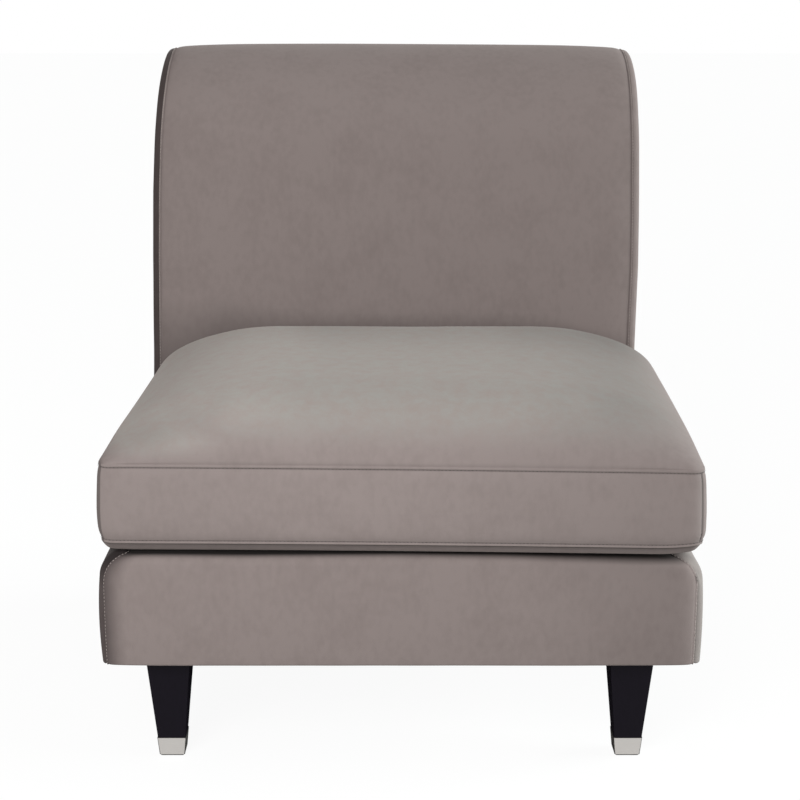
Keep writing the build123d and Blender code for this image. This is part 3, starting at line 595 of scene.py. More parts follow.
rung_left, rung_right, band_rim = ladder()
rung_length = np.linalg.norm(rung_right - rung_left, axis=1)
squeeze = np.minimum(1.0, rung_length / (2.4 * RUNG_NEAR[-1]))[:, None]
near = RUNG_NEAR * squeeze
free_run = rung_length[:, None] - 2 * near[:, -1:]
between_rims = np.linspace(0, 1, 9)[1:-1] * free_run + near[:, -1:]
rung_stops = np.concatenate([near, between_rims, rung_length[:, None] - near[:, ::-1]], 1)
rung_way = (rung_right - rung_left) / rung_length[:, None]
band_flat = rung_left[:, None, :] + rung_way[:, None, :] * rung_stops[..., None]


def distance_to(rim, points):
    """Least distance of side-view points from a closed rim."""
    ends = np.roll(rim, -1, axis=0)
    way = ends - rim
    length2 = np.maximum((way**2).sum(1), 1e-9)
    best = np.full(len(points), 1e9)
    for a, w, l2 in zip(rim, way, length2):
        share = bounded(((points - a) @ w) / l2)
        best = np.minimum(best, np.linalg.norm(points - a - share[:, None] * w, axis=1))
    return best


rim_distance = distance_to(band_rim, band_flat.reshape(-1, 2)).reshape(band_flat.shape[:2])
BAND_BULGE, BAND_ROUND = 9.0, 9.0
band_bulge = BAND_BULGE * arched(rim_distance / BAND_ROUND)
band_bulge += 1.6 * bounded(rim_distance / 45)
for side, sign in (("right", 1), ("left", -1)):
    outer = np.concatenate([(sign * (SEAM_X + 0.2 + band_bulge))[..., None], band_flat], -1)
    inner = np.concatenate([np.full(band_bulge.shape, sign * (SEAM_X - 0.6))[..., None], band_flat], -1)
    outer[..., 0] += sign * unevenness(outer, 70, 0.5) * bounded(rim_distance / 12)
    for grid in (outer, inner):
        grid[..., 2] -= eased(grid[..., 2], rim_distance)
    band = closed_cover(f"back_band_{side}", settled(outer), settled(inner), velvet_back)
    # The left band takes the dark painted tone of the back's velvet: painted shade on the side away from the
    # light.
    paint_shading(band, 1.0 if side == "left" else 0.0)
    upholstered(band, 0.8, f"back_side_cover_{side}", f"back_side_pad_{side}")

# %% [markdown]
# ## The outside back
# Behind, a single cloth is stretched over a board and blind-stitched to the bands and under the nose.
# It is a sheet, not a pad: two grids 1.2 mm apart, nearly flat, pulled in a little along its edges.

# %% Outside back
sheet_columns = graded(SEAM_X - 0.3, [0, 1.5, 3.5, 6.5, 11, 18], 16)
sheet_run = rear_line(BASE_BOTTOM, under_nose + 0.02)
sheet_edge = SEAM_X - np.abs(sheet_columns)
tuck = -0.9 * bell(sheet_edge, 0.0, 3.0) + 0.3
sheet_outer = back_points(sheet_columns, sheet_run, tuck[None, :])
sheet_inner = back_points(sheet_columns, sheet_run, tuck[None, :] - 1.2)
outside_back = closed_cover("outside_back", settled(sheet_outer), settled(sheet_inner), velvet_back)
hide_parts("outside_back_cover")
rounded_off(outside_back)

# %% [markdown]
# ## The front of the base
# The front border rolls over the front rail under the cushion. Its upper corners are rounded, its
# upright edges turn back softly, and the seam to the side panels is folded and topstitched.
# The columns near the edges shift inwards where the corners narrow the panel.

# %% Front border
EDGE_R, FOOT_R, CORNER_SWEEP = 14.0, 3.2, 36.0
FRONT_TOP = BASE_TOP - 2.0
front_shoulder = FRONT_TOP - EDGE_R
BASE_FOOT = BASE_BOTTOM + FOOT_R
SOFT_EDGE, SOFT_RUN = 8.0, 22.0
UPRIGHT_ROWS = 17
crown_share = np.linspace(-1, 1, UPRIGHT_ROWS)


def upright_run(shoulder):
    """Heights from the rounded foot of the base up to the shoulder of its edge roll."""
    return (BASE_FOOT + shoulder) / 2 + crown_share * (shoulder - BASE_FOOT) / 2


front_run = joined(
    bend(np.array((FOOT_R, BASE_FOOT)), FOOT_R, 1.5 * math.pi, math.pi),
    np.c_[-3.0 * (1 - crown_share**2), upright_run(front_shoulder), np.tile((-1.0, 0.0), (UPRIGHT_ROWS, 1))],
    bend(np.array((EDGE_R, front_shoulder)), EDGE_R, math.pi, math.pi / 2, step=2.1),
    straight(np.array((EDGE_R, FRONT_TOP)), np.array((40.0, FRONT_TOP)), (0.0, 1.0), step=8.0),
)


def front_surface(columns, height):
    """Points of the front border: rows squeezed to its width at their height, edges turned back."""
    grid = back_points(columns, front_run, height)
    from_edge = SEAM_X - np.abs(np.broadcast_to(np.asarray(columns)[None, :], grid.shape[:2]))
    up = np.clip(front_run[:, 1:2] - FRONT_TOP + CORNER_SWEEP, 0, CORNER_SWEEP)
    narrowing = np.minimum(CORNER_SWEEP - np.sqrt(np.maximum(CORNER_SWEEP**2 - up**2, 0)), 30.0)
    grid[..., 0] -= np.sign(grid[..., 0]) * narrowing * smooth(1 - from_edge / 150)
    turn = bounded(1 - from_edge / SOFT_RUN)
    grid[..., 1] += SOFT_EDGE * (1 - np.sqrt(1 - turn**2))
    pressed = np.interp(grid[..., 0], [-370, -200, 0, 120, 250, 350], [0.0, 1.6, 0.4, 1.0, 3.0, 4.4])
    grid[..., 2] -= pressed * bounded((front_run[:, 1:2] - 235) / 45)
    grid[..., 2] -= 1.4 * turn**2 * bounded((BASE_BOTTOM + 30 - front_run[:, 1:2]) / 30)
    return grid


front_columns = graded(SEAM_X, SEAM_NEAR, 12)
front_edge = SEAM_X - np.abs(front_columns)
front_outer = front_surface(front_columns, 0.6 * fold_relief(front_edge)[None, :] - 0.4)
front_outer[..., 1] += unevenness(front_outer, 80, 0.7) * bounded(front_edge / 20)
front_inner = front_surface(front_columns * 0.99, np.full((1, len(front_columns)), -8.0))
base_front = closed_cover("base_front", front_outer, front_inner, velvet_base)
# Painted shade: the left edge of the front border takes the dark painted tone where it turns away from the
# light.
shaded_left_edge = np.tile(bounded(1 - front_edge / 24) * (front_columns < 0), (2 * len(front_run), 1))
paint_shading(base_front, shaded_left_edge.ravel())
# Painted shade, nearly black: over the border's top where it lies under the cushion, towards the right end,
# and at a small pucker by the right seam.
shade_from = np.interp(front_columns, [0, 150, 300], [0.55, 0.40, 0.05])
under_cushion = bounded((front_run[:, 3:4] - shade_from) / (0.97 - shade_from))
under_cushion = under_cushion ** np.interp(front_columns, [0, 300], [2.8, 1.6])
towards_right = 0.15 * bounded((front_columns[None, :] - 150) / 200) * bounded(front_edge / 22)
pucker = 0.7 * (front_columns[None, :] > SEAM_X - 2.5) * (np.abs(front_run[:, 1:2] - 257) < 5)
front_dark = np.maximum(np.maximum(under_cushion, towards_right), pucker)
paint_shading(base_front, np.tile(front_dark, (2, 1)).ravel(), "painted_shade")
upholstered(base_front, 0.8, "base_front_cover", "base_front_pad")

# %% [markdown]
# ## The sides of the base
# Each side panel starts at the seam of the front border, swells out to its own section within a
# finger's width, and runs back to the leaning line where the back's band takes over.
# Its rows follow the section from the bottom edge over the roll, its columns run from front to back.

# %% Side borders
SIDE_R, SIDE_OUT = {"right": 40.0, "left": 34.0}, {"right": 377.9, "left": 375.6}
SIDE_BULGE, SIDE_SPREAD = {"right": 0.8, "left": 2.0}, {"right": 0.9, "left": 0.0}


def side_section_out(side):
    """Section of a side panel: rounded foot, slight bulge, edge roll."""
    at, roll, spread = SIDE_OUT[side], SIDE_R[side], SIDE_SPREAD[side]
    shoulder = BASE_TOP - roll
    face = at + SIDE_BULGE[side] * (1 - crown_share**2) + spread * (1 - crown_share) / 2
    return joined(
        bend(np.array((at + spread - FOOT_R, BASE_FOOT)), FOOT_R, -0.5 * math.pi, 0.0),
        np.c_[face, upright_run(shoulder), np.tile((1.0, 0.0), (UPRIGHT_ROWS, 1))],
        bend(np.array((at - roll, shoulder)), roll, 0.0, math.pi / 2, step=roll * 0.1485),
        straight(np.array((at - roll, BASE_TOP)), np.array((at - roll - 9, BASE_TOP)), (0.0, 1.0), step=2.9),
    )


side_start = np.array([0, 0.8, 2.0, 3.5, 5.5, 8, 11, 16, 23])
TURN_OUT = 8.0
for side, sign in (("right", 1), ("left", -1)):
    side_section = side_section_out(side)
    front_seam = front_surface([sign * SEAM_X], np.array([[-0.3]]))[:, 0] * (sign, 1, 1)
    assert len(side_section) == len(front_seam)
    rows = []
    for (x, z, out_x, out_z), (seam_x, seam_y, seam_z) in zip(side_section, front_seam):
        end = face_at(z) - 0.5
        first = seam_y + side_start
        y = np.r_[first, np.linspace(first[-1], end - 19, 56)[1:], end - np.array([14, 9, 5.5, 3, 1.2, 0])]
        swelling = arched((y - seam_y) / TURN_OUT)
        tucked = 3.0 * (1 - arched((end - y) / 7.0))
        row_x = seam_x + (x - seam_x) * swelling - tucked * out_x
        row_z = seam_z + (z - seam_z) * swelling - tucked * out_z
        low_front = bounded(1 - (y - seam_y) / 60) * bounded((BASE_BOTTOM + 30 - z) / 30)
        row_z -= 1.9 * swelling * low_front
        rows.append(np.stack([row_x, y, row_z], -1))
    outer = np.array(rows)
    deep = outer.copy()
    deep[..., [0, 2]] -= 5.0 * side_section[:, None, 2:]
    dents = unevenness(outer * (sign, 1, 1), 75, 0.8) * bounded((outer[..., 1] - 12) / 20)
    outer[..., 0] += dents * side_section[:, 2:3]
    outer[..., 0] *= sign
    deep[..., 0] = sign * np.maximum(deep[..., 0], 330)
    # The right panel takes a paler copy of the base velvet, painted light that is strongest near the front;
    # the left panel takes the dark painted tone as painted shade, with painted shadow towards its top under
    # the cushion.
    finish = velvet_base if side == "left" else velvet_base_painted_lit
    panel = closed_cover(f"base_side_{side}", outer, deep, finish)
    from_front, height = places(panel)[:, 1] * 1000 + DRAWN_MIDDLE, places(panel)[:, 2] * 1000
    if side == "left":
        paint_shading(panel, 1.0)
        paint_shading(panel, 0.7 * bounded((height - 240) / 35), "painted_shade")
    else:
        paint_shading(panel, bounded(1.2 - from_front / 90))
    upholstered(panel, 0.8, f"base_side_cover_{side}", f"base_side_pad_{side}")

# %% [markdown]
# ## The seat cushion
# A boxed cushion is three covers sewn at two seams: a crowned top, a strip round the side and a
# softly bellied bottom. Each seam is topstitched on the strip, which leaves a raised fold next to it.
# One closed mesh holds all three, so the seams can never open. The top is a grid whose edge becomes
# the first row of the strip. The square-to-disc rule rounds its corners without a pole.

# %% Plan and height of the cushion
CUSHION_HALF, CUSHION_FRONT = 370.5, -8.0
CUSHION_REAR = drawn_box("cushion_boxing")[1][1]
CORNER_R, DRAWN_IN, ASKEW, SHIFTED, SEAM_DROP = 18.0, 3.8, 10.6, 11.8, 2.0
RIGHT_OUT, LEFT_OUT = (-1.2, 1.7, 7.6), (1.3, -1.5, 2.6)
CROWN, FRONT_RUN, REAR_RUN = 78.9, 150.0, 84.0
SIDE_RUNS = {"left": (287.0, 174.0), "right": (266.0, 172.0)}
BELLY, BELLY_RUN = 11.8, 14.0
TURNED_UP = (4.5, 1.0)
cushion_middle = (CUSHION_FRONT + CUSHION_REAR) / 2
cushion_depth_half = (CUSHION_REAR - CUSHION_FRONT) / 2
PANEL_NEAR = [0, 0.12, 0.7, 2.2, 5.5, 10, 16, 23, 31]


def round_corner(p, q, p_half, q_half):
    """Bend a square corner of the plan to an arc, by the square-to-disc rule."""
    a = bounded((np.abs(p) - (p_half - CORNER_R)) / CORNER_R)
    b = bounded((np.abs(q) - (q_half - CORNER_R)) / CORNER_R)
    both = (a > 0) & (b > 0)
    new_p = np.where(both, np.sign(p) * (p_half - CORNER_R + CORNER_R * a * np.sqrt(1 - b**2 / 2)), p)
    new_q = np.where(both, np.sign(q) * (q_half - CORNER_R + CORNER_R * b * np.sqrt(1 - a**2 / 2)), q)
    return new_p, new_q


def cushion_plan(p, q):
    """Where a point of the flat panel lies: corners rounded, sides drawn in, set down a little askew."""
    x, y = round_corner(p, q, CUSHION_HALF, cushion_depth_half)
    s, t = x / CUSHION_HALF, y / cushion_depth_half
    ahead = (1 - t) / 2
    y = y + ahead * (DRAWN_IN * (1 - s**2) - ASKEW * s)
    out_right, out_left = (a * ahead + b * (1 - t**2) + c * (1 - ahead) for a, b, c in (RIGHT_OUT, LEFT_OUT))
    x = x + bounded(s) * out_right - bounded(-s) * out_left
    return x + SHIFTED * (1 - ahead), cushion_middle + y, TOP_SEAM - SEAM_DROP * ahead * (1 + s) / 2


def inward(place, half, run):
    """How far a place is from the seam, as a share of the run over which a panel swells."""
    return bounded((half - np.abs(place)) / run)


panel_p, panel_q = np.meshgrid(*(graded(half, PANEL_NEAR, 9) for half in (CUSHION_HALF, cushion_depth_half)))
plan_x, plan_y, seam_z = cushion_plan(panel_p, panel_q)
behind = (1 + panel_q / cushion_depth_half) / 2
run_left, run_right = (a + (b - a) * behind for a, b in (SIDE_RUNS["left"], SIDE_RUNS["right"]))
across = arched(inward(panel_p, CUSHION_HALF, np.where(panel_p < 0, run_left, run_right)))
lengthways = arched(inward(panel_q, cushion_depth_half, np.where(panel_q < 0, FRONT_RUN, REAR_RUN)))
top_z = seam_z + CROWN * across * lengthways
low_share = 1.0
for place, half in ((panel_p, CUSHION_HALF), (panel_q, cushion_depth_half)):
    low_share = low_share * (1 - (1 - inward(place, half, BELLY_RUN)) ** 2)
low_z = LOW_SEAM - BELLY * low_share
print(f"top panel: {top_z.shape} points, crown to {top_z.max():.1f} mm")

# %% [markdown]
# The strip hangs from the panel's rim. Its rows crowd together at both seams, where the offset goes
# out over the fold, in at the thread and out again over the stuffing. A shallow channel along the
# rear makes room for the zip, and an upright seam at the front right joins the strip's two lengths.

# %% The strip between the seams
BOXING, CORNER_REACH = TOP_SEAM - LOW_SEAM, 24.0
edge_rows = np.array([0, 0.5, 1.6, 3.0, 4.2, 5.4, 9.0, 16, 27])
edge_out = np.array([-2.0, -0.3, 0.4, 0.1, -1.0, -0.1, 1.1, 2.2, 2.9])
drop = np.r_[edge_rows, 40.6, 41.6, BOXING / 2, BOXING - 41.6, BOXING - 40.6, BOXING - edge_rows[::-1]]
low_out = edge_out + np.array([0, 0, 0, 0, 0, 0.2, 0.9, 1.6, 1.6])
offset = np.r_[edge_out, 3.6, 3.7, 4.1, 4.5, 4.5, low_out[::-1]]
rim_index = rim_of(np.arange(plan_x.size).reshape(plan_x.shape))
rim_xy = np.stack([plan_x.ravel()[rim_index], plan_y.ravel()[rim_index]], -1)
rim_way = np.roll(rim_xy, -1, axis=0) - np.roll(rim_xy, 1, axis=0)
rim_out = np.stack([rim_way[:, 1], -rim_way[:, 0]], -1) / np.linalg.norm(rim_way, axis=1, keepdims=True)
rim_p, rim_q = panel_p.ravel()[rim_index], panel_q.ravel()[rim_index]
at_rear = (rim_q > cushion_depth_half - 0.1) & (np.abs(rim_p) < CUSHION_HALF - CORNER_R)
zip_run = at_rear & (np.abs(rim_xy[:, 0]) < 266)
strip_out = np.tile(offset[:, None], (1, len(rim_xy)))
strip_out[:, at_rear] = np.minimum(strip_out[:, at_rear], 0.2)
channel = np.abs(drop - BOXING / 2) < 6.0
strip_out[np.ix_(channel, zip_run)] = -3.6

corner_column = plan_x.shape[1] - 1
upright = np.linalg.norm(rim_xy - rim_xy[corner_column], axis=1) < 0.8
between = (drop > 5) & (drop < BOXING - 5)
strip_out[np.ix_(between, upright)] -= 1.0
rim_seam = seam_z.ravel()[rim_index]
strip_z = rim_seam[None] - drop[:, None] * (rim_seam[None] - LOW_SEAM) / BOXING
from_corner = [np.linalg.norm(rim_xy - rim_xy[column], axis=1) for column in (corner_column, 0)]
at_corner = [bell(gap, 0, CORNER_REACH) for gap in from_corner]
in_groove = np.r_[drop[:9], np.full(5, 99.0), drop[:9][::-1]] < 5
strip_out += np.where(in_groove[:, None], np.clip(0.3 - strip_out, 0, 3) * np.maximum(*at_corner)[None], 0)
strip_out += 1.6 * bounded((drop[:, None] - BOXING + 30) / 15) * at_corner[0][None]
strip = np.concatenate([rim_xy[None] + rim_out[None] * strip_out[..., None], strip_z[..., None]], -1)
turned_up = TURNED_UP[0] * at_corner[0] + TURNED_UP[1] * at_corner[1]
strip[..., 2] += turned_up[None] * bounded(drop[:, None] / BOXING * 2 - 1)
print("strip:", strip.shape[:2], "points, upright seams at", rim_xy[upright].round(0).tolist())

# %% [markdown]
# The panels' rims are the strip's first and last rows, so the three grids share those points.
# Then the cloth swells: seams, folds and the zip's channel are held, the panels are free.

# %% One closed cover, swollen
count = plan_x.size
top_points = np.stack([plan_x, plan_y, top_z], -1).reshape(-1, 3)
low_points = np.stack([plan_x, plan_y, low_z], -1).reshape(-1, 3)
top_points[rim_index] = strip[0]
low_points[rim_index] = strip[-1]
for gap_height, column in zip(TURNED_UP, (corner_column, 0)):
    gap = np.linalg.norm(low_points[:, :2] - rim_xy[column], axis=1)
    low_points[:, 2] += np.where(low_share.ravel() > 0, gap_height * bell(gap, 0, CORNER_REACH), 0)
inner_rows = strip[1:-1].reshape(-1, 3)
inner_index = 2 * count + np.arange(len(inner_rows)).reshape(-1, len(rim_index))
rings = np.r_[rim_index[None], inner_index, count + rim_index[None]]
wrapped = np.concatenate([rings, rings[:, :1]], 1)
panel_index = np.arange(count).reshape(plan_x.shape)
cushion_faces = np.r_[quads(panel_index), quads(panel_index)[:, ::-1] + count, quads(wrapped)]
cushion_points = np.r_[top_points, low_points, inner_rows]
cushion = new_piece("seat_cushion_cover", cushion_points, cushion_faces, velvet_cushion, body="seat_cushion")
assert len(cushion.data.vertices) == len(cushion_points)

held = np.zeros(len(cushion_points), bool)
near_seam = (drop < 8) | (drop > BOXING - 8)
held[rings[near_seam].ravel()] = True
held[rings[:, at_rear].ravel()] = True
held[count : 2 * count] = low_share.ravel() > 0.97
swell(cushion, held, pressure=2.0, slack=0.001, cap=1.4)
now = places(cushion)
floor_of_cushion = (BASE_TOP + 0.3) * 0.001
now[:, 2] = np.maximum(now[:, 2], floor_of_cushion)
cushion.data.vertices.foreach_set("co", now.astype(np.float32).ravel())
print(f"cushion: {len(now)} points, {held.sum()} held, lowest at {now[:, 2].min() * 1000:.1f} mm")

# %% [markdown]
# On the top a paler, greyer sheen is painted in, which turns over to the warm tone of the strip near the rim.
# Painted shade darkens the top to the right and to the rear. Shade is painted nearly black in the seams,
# under the cushion and on its left side, which lies in shade.

# %% Tones of the cushion
x, y, rise = (now * 1000 - (0, 0, TOP_SEAM)).T
left_flank = bounded((rise - 3) / 20) * bounded((-x - 180) / 130)
top_share = smooth(np.maximum((rise - 13) / 50, left_flank))
paint_shading(cushion, top_share)
# Painted shade on the top: darker to the right and to the rear, and at the front-left corner.
painted_shade_on_top = 0.13 * smooth((x + 220) / 130) + 0.29 * smooth((x - 110) / 214)
painted_shade_on_top += 0.17 * smooth((y + 190) / 240) * smooth((x + 300) / 200)
painted_shade_on_top += 0.2 * bell(x, -312, 45) * bell(y, -425, 40)
# Painted shade on the strip towards its right and far left; nearly black in the seams, the upright seam,
# along the left rim and on the left side, and under the bottom panel.
cushion_painted_shade = 0.12 * bounded((x - 20) / 300) + 0.06 * bounded((-x - 120) / 150)
cushion_painted_shade += (painted_shade_on_top - cushion_painted_shade) * top_share
from_rim = np.minimum(CUSHION_HALF - np.abs(panel_p), cushion_depth_half - np.abs(panel_q)).ravel()
cushion_painted_shade[count : 2 * count] = 0.20 + 0.45 * np.exp(-from_rim / 2.0)
for row, dark in ((0, 0.14), (4, 0.48), (-5, 0.42), (-1, 0.95)):
    cushion_painted_shade[rings[row]] = dark
cushion_painted_shade[rings[np.ix_(between, upright)].ravel()] = 0.55
from_left = (CUSHION_HALF + panel_p).ravel()
cushion_painted_shade[:count] = np.maximum(cushion_painted_shade[:count], 0.5 * np.exp(-from_left / 3))
left_side = np.flatnonzero(from_left[rim_index] < 0.5)
cushion_painted_shade[rings[1:-1][:, left_side].ravel()] = 0.50
paint_shading(cushion, cushion_painted_shade, "painted_shade")
upholstered(cushion, 0.9, "cushion_top_panel", "cushion_bottom_panel", "cushion_boxing", "cushion_core")
print(f"top of the cushion at {TOP_SEAM + rise.max():.1f} mm")

# %% [markdown]
# ## The deck under the cushion
# Lift the cushion and there is a flat pad over the springs, in a plain woven lining that costs less
# than velvet. Its weave is a plain one of about 0.6 mm threads, drawn at 1.8 mm so that it shows.

# %% Lining finish and deck


def woven(name, warp, weft, thread, rough):
    """Plain-woven cloth from two thread colours, the threads that many millimetres apart."""
    made, tree, place = finish_named(name)
    waves = []
    for axis in ("X", "Y"):
        wave = {"Vector": place, "Scale": per_metre(thread) / math.pi / 6.37, "Distortion": 0.6}
        waves.append(add(tree, "TexWave", wave, bands_direction=axis).outputs["Fac"])
    over = add(tree, "Math", {0: waves[0], 1: waves[1]}, operation="MULTIPLY")
    slub = add(tree, "TexNoise", {"Vector": place, "Scale": per_metre(25), "Detail": 3.0})
    mixed = add(tree, "Math", {0: slub, 1: 0.5, 2: over}, operation="MULTIPLY_ADD")
    tone = add(tree, "ValToRGB", {"Fac": mixed}, [(0.0, warp), (1.0, weft)])
    bump = add(tree, "Bump", {"Height": over, "Strength": 0.35, "Distance": 0.0005})
    look = {"Base Color": tone, "Roughness": rough, "Normal": bump, "Specular IOR Level": 0.2}
    add(tree, "OutputMaterial", {"Surface": add(tree, "BsdfPrincipled", look)})
    return made


deck_lining = woven("polyester_deck_lining", "#2B2726", "#413B39", 1.8, 0.9)
deck_low, deck_high = drawn_box("deck_pad")[0], drawn_box("deck_cover")[1]
deck_x, deck_y = (graded(half, [0, 1.5, 4, 8, 14], 22) for half in (deck_high - deck_low)[:2] / 2)
grid_x, grid_y = np.meshgrid(deck_x, deck_y)
edge = np.minimum(deck_x.max() - np.abs(grid_x), deck_y.max() - np.abs(grid_y))
deck_z = deck_high[2] - 5.0 * (1 - arched(edge / 8)) - 0.2
grid_y = grid_y + (deck_low[1] + deck_high[1]) / 2
deck_top = np.stack([grid_x, grid_y, deck_z], -1)
deck_top[..., 2] -= np.abs(unevenness(deck_top, 90, 0.8)) * bounded(edge / 20)
deck_under = np.stack([grid_x, grid_y, np.full_like(deck_z, deck_low[2])], -1)
deck = closed_cover("seat_deck", deck_top, deck_under, deck_lining, slot="deck_cloth")
upholstered(deck, 0.9, "deck_cover", "deck_pad")

# %% [markdown]
# ## The dust cover
# Under the frame a black spun-bonded cloth is stapled to the rails and cut out round the leg plates.
# The grid's lines run along the cut-outs, so leaving those cells out cuts the holes exactly.

# %% Dust cover
dust_low, dust_high = drawn_box("dust_cover")
LEG_X, LEG_FRONT_Y, LEG_REAR_Y = 294.8, 52.25, 647.75
CUT = 25.3


def lines_with(low, high, cuts, step):
    """Grid lines from one edge to the other that include every edge of the cut-outs."""
    stops = np.r_[low, sorted(c + s * CUT for c in cuts for s in (-1, 1)), high]
    runs = [np.linspace(a, b, max(int((b - a) / step), 1) + 1)[:-1] for a, b in zip(stops, stops[1:])]
    return np.r_[np.concatenate(runs), high]


dust_x = lines_with(dust_low[0], dust_high[0], (-LEG_X, LEG_X), 25)
dust_y = lines_with(dust_low[1], dust_high[1], (LEG_FRONT_Y, LEG_REAR_Y), 25)
gx, gy = np.meshgrid(dust_x, dust_y)
hang = (1 - (gx / dust_x.max()) ** 2) * (1 - ((gy - gy.mean()) / (np.ptp(dust_y) / 2)) ** 2)
dust_grid = np.stack([gx, gy, dust_low[2] + 0.3 - 3.0 * bounded(hang)], -1)
cx, cy = np.meshgrid(*((stops[1:] + stops[:-1]) / 2 for stops in (dust_x, dust_y)))
by_leg = np.minimum(np.abs(cy - LEG_FRONT_Y), np.abs(cy - LEG_REAR_Y))
whole = (np.abs(np.abs(cx) - LEG_X) >= CUT) | (by_leg >= CUT)
dust_index = np.arange(gx.size).reshape(gx.shape)
dust_faces = quads(dust_index)[whole.ravel()]
dust = new_piece("dust_cover_sheet", dust_grid.reshape(-1, 3), dust_faces, dust_black, slot="dust_cloth")
thick = dust.modifiers.new("cloth thickness", "SOLIDIFY")
thick.thickness, thick.offset = 0.0005, 0.0
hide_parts("dust_cover")

# %% [markdown]
# ## Stitches, teeth and staples that follow a path
# Topstitching is one short stitch repeated along a seam. Modelling each by hand would take days, so
# a Geometry Nodes tree does it: the seam becomes a curve, the curve is cut into even steps, and each
# step gets a small rounded bead turned along the curve. Length, width, height and pitch are the
# tree's inputs, so the same tree also makes the teeth of the zip and the staples of the dust cover.

# %% Beads along a path, as Geometry Nodes
bead_tree = bpy.data.node_groups.new("beads_along_path", "GeometryNodeTree")
bead_sockets = {}
kinds = {"Geometry": "Geometry", "Pitch": "Float", "Length": "Float", "Width": "Float", "Height": "Float"}
for label, kind in {**kinds, "Seed": "Int", "Material": "Material"}.items():
    socket = bead_tree.interface.new_socket(label, in_out="INPUT", socket_type="NodeSocket" + kind)
    bead_sockets[label] = socket.identifier
bead_tree.interface.new_socket("Geometry", in_out="OUTPUT", socket_type="NodeSocketGeometry")

given = add(bead_tree, "NodeGroupInput").outputs
path = add(bead_tree, "GeometryNodeMeshToCurve", {"Mesh": given["Geometry"]})
steps = add(bead_tree, "GeometryNodeResampleCurve", {"Curve": path, "Length": given["Pitch"]}, mode="LENGTH")
bead = add(bead_tree, "GeometryNodeMeshUVSphere", {"Segments": 6, "Rings": 5, "Radius": 0.5})
tangent = add(bead_tree, "GeometryNodeInputTangent")
turned = add(bead_tree, "FunctionNodeAlignRotationToVector", {"Vector": tangent}, axis="X")
vary = add(bead_tree, "FunctionNodeRandomValue", {2: 0.9, 3: 1.08, "Seed": given["Seed"]}, data_type="FLOAT")
long = add(bead_tree, "Math", {0: given["Length"], 1: vary.outputs[1]}, operation="MULTIPLY")
size = add(bead_tree, "CombineXYZ", {"X": long, "Y": given["Width"], "Z": given["Height"]})
each = {"Points": steps, "Instance": bead, "Rotation": turned, "Scale": size}
beads = add(bead_tree, "GeometryNodeInstanceOnPoints", each)
real = add(bead_tree, "GeometryNodeRealizeInstances", {"Geometry": beads})
shaded = add(bead_tree, "GeometryNodeSetShadeSmooth", {"Geometry": real})
coloured = add(bead_tree, "GeometryNodeSetMaterial", {"Geometry": shaded, "Material": given["Material"]})
add(bead_tree, "NodeGroupOutput", {"Geometry": coloured})


def beads_along(name, lines, finish, pitch, length, width, height, body="chair", slot="velvet"):
    """Beads along open lines of drawing points, made real as one plain mesh."""
    points = to_frame(np.concatenate(lines))
    edges, start = [], 0
    for line in lines:
        edges += [(start + i, start + i + 1) for i in range(len(line) - 1)]
        start += len(line)
    guide = bpy.data.meshes.new(name + "_path")
    guide.from_pydata(points.tolist(), edges, [])
    carrier = placed(name + "_path", guide)
    rule = carrier.modifiers.new("beads", "NODES")
    rule.node_group = bead_tree
    sizes = {"Pitch": pitch, "Length": length, "Width": width, "Height": height}
    for label, value in sizes.items():
        rule[bead_sockets[label]] = value * 0.001
    rule[bead_sockets["Seed"]] = 7
    rule[bead_sockets["Material"]] = finish
    bpy.context.view_layer.update()
    mesh = bpy.data.meshes.new_from_object(carrier.evaluated_get(bpy.context.evaluated_depsgraph_get()))
    bpy.data.objects.remove(carrier)
    piece = placed(name, mesh)
    mesh.name = name
    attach(piece, body)
    print(name, len(mesh.polygons), "faces along", len(lines), "lines")
    return piece


print("tree:", bead_tree.name, "with", len(bead_tree.nodes), "nodes")

# %% [markdown]
# ## Thread
# Topstitching thread is a twisted polyester, a little shiny. On the back and the base it is a shade lighter
# than the velvet and reads as a fine pale line; on the cushion it lies deep in its furrow, and its colour is
# painted dark for the shade there. Its twist is drawn as slanting bands 0.5 mm apart.

# %% Thread finish and all the stitching


def twisted_thread(name, dark, light):
    """Twisted polyester sewing thread in two tones."""
    made, tree, place = finish_named(name)
    twist = {"Vector": place, "Scale": per_metre(0.5) / 20, "Distortion": 1.0}
    twist = add(tree, "TexWave", twist, bands_direction="DIAGONAL").outputs["Fac"]
    tone = add(tree, "ValToRGB", {"Fac": twist}, [(0.0, dark), (1.0, light)])
    look = {"Base Color": tone, "Roughness": 0.6, "Sheen Weight": 0.1}
    add(tree, "OutputMaterial", {"Surface": add(tree, "BsdfPrincipled", look)})
    return made


pale_thread = twisted_thread("pale_polyester_thread", "#887D79", "#A59A94")
# Painted shade: the cushion's thread is coloured dark for the shade of its furrow.
shaded_thread = twisted_thread("shaded_polyester_thread", "#332D2B", "#463E3B")
STITCH_IN = 1.6
stitch_rise = float(fold_relief(np.array([STITCH_IN]))[0]) - 0.1
chair_seams = []
fore = front_line(BASE_TOP + 12, -0.2)
for at in (STITCH_IN - SEAM_X, SEAM_X - STITCH_IN):
    chair_seams.append(settled(back_points([at], fore, stitch_rise - eased(fore[:, 1:2], STITCH_IN)))[:, 0])
    chair_seams.append(front_surface([at], np.array([[0.6 * stitch_rise - 0.3]]))[:, 0])
stitch = {"pitch": 4.6, "length": 3.4}
beads_along("chair_topstitching", chair_seams, pale_thread, width=0.75, height=0.75, **stitch)

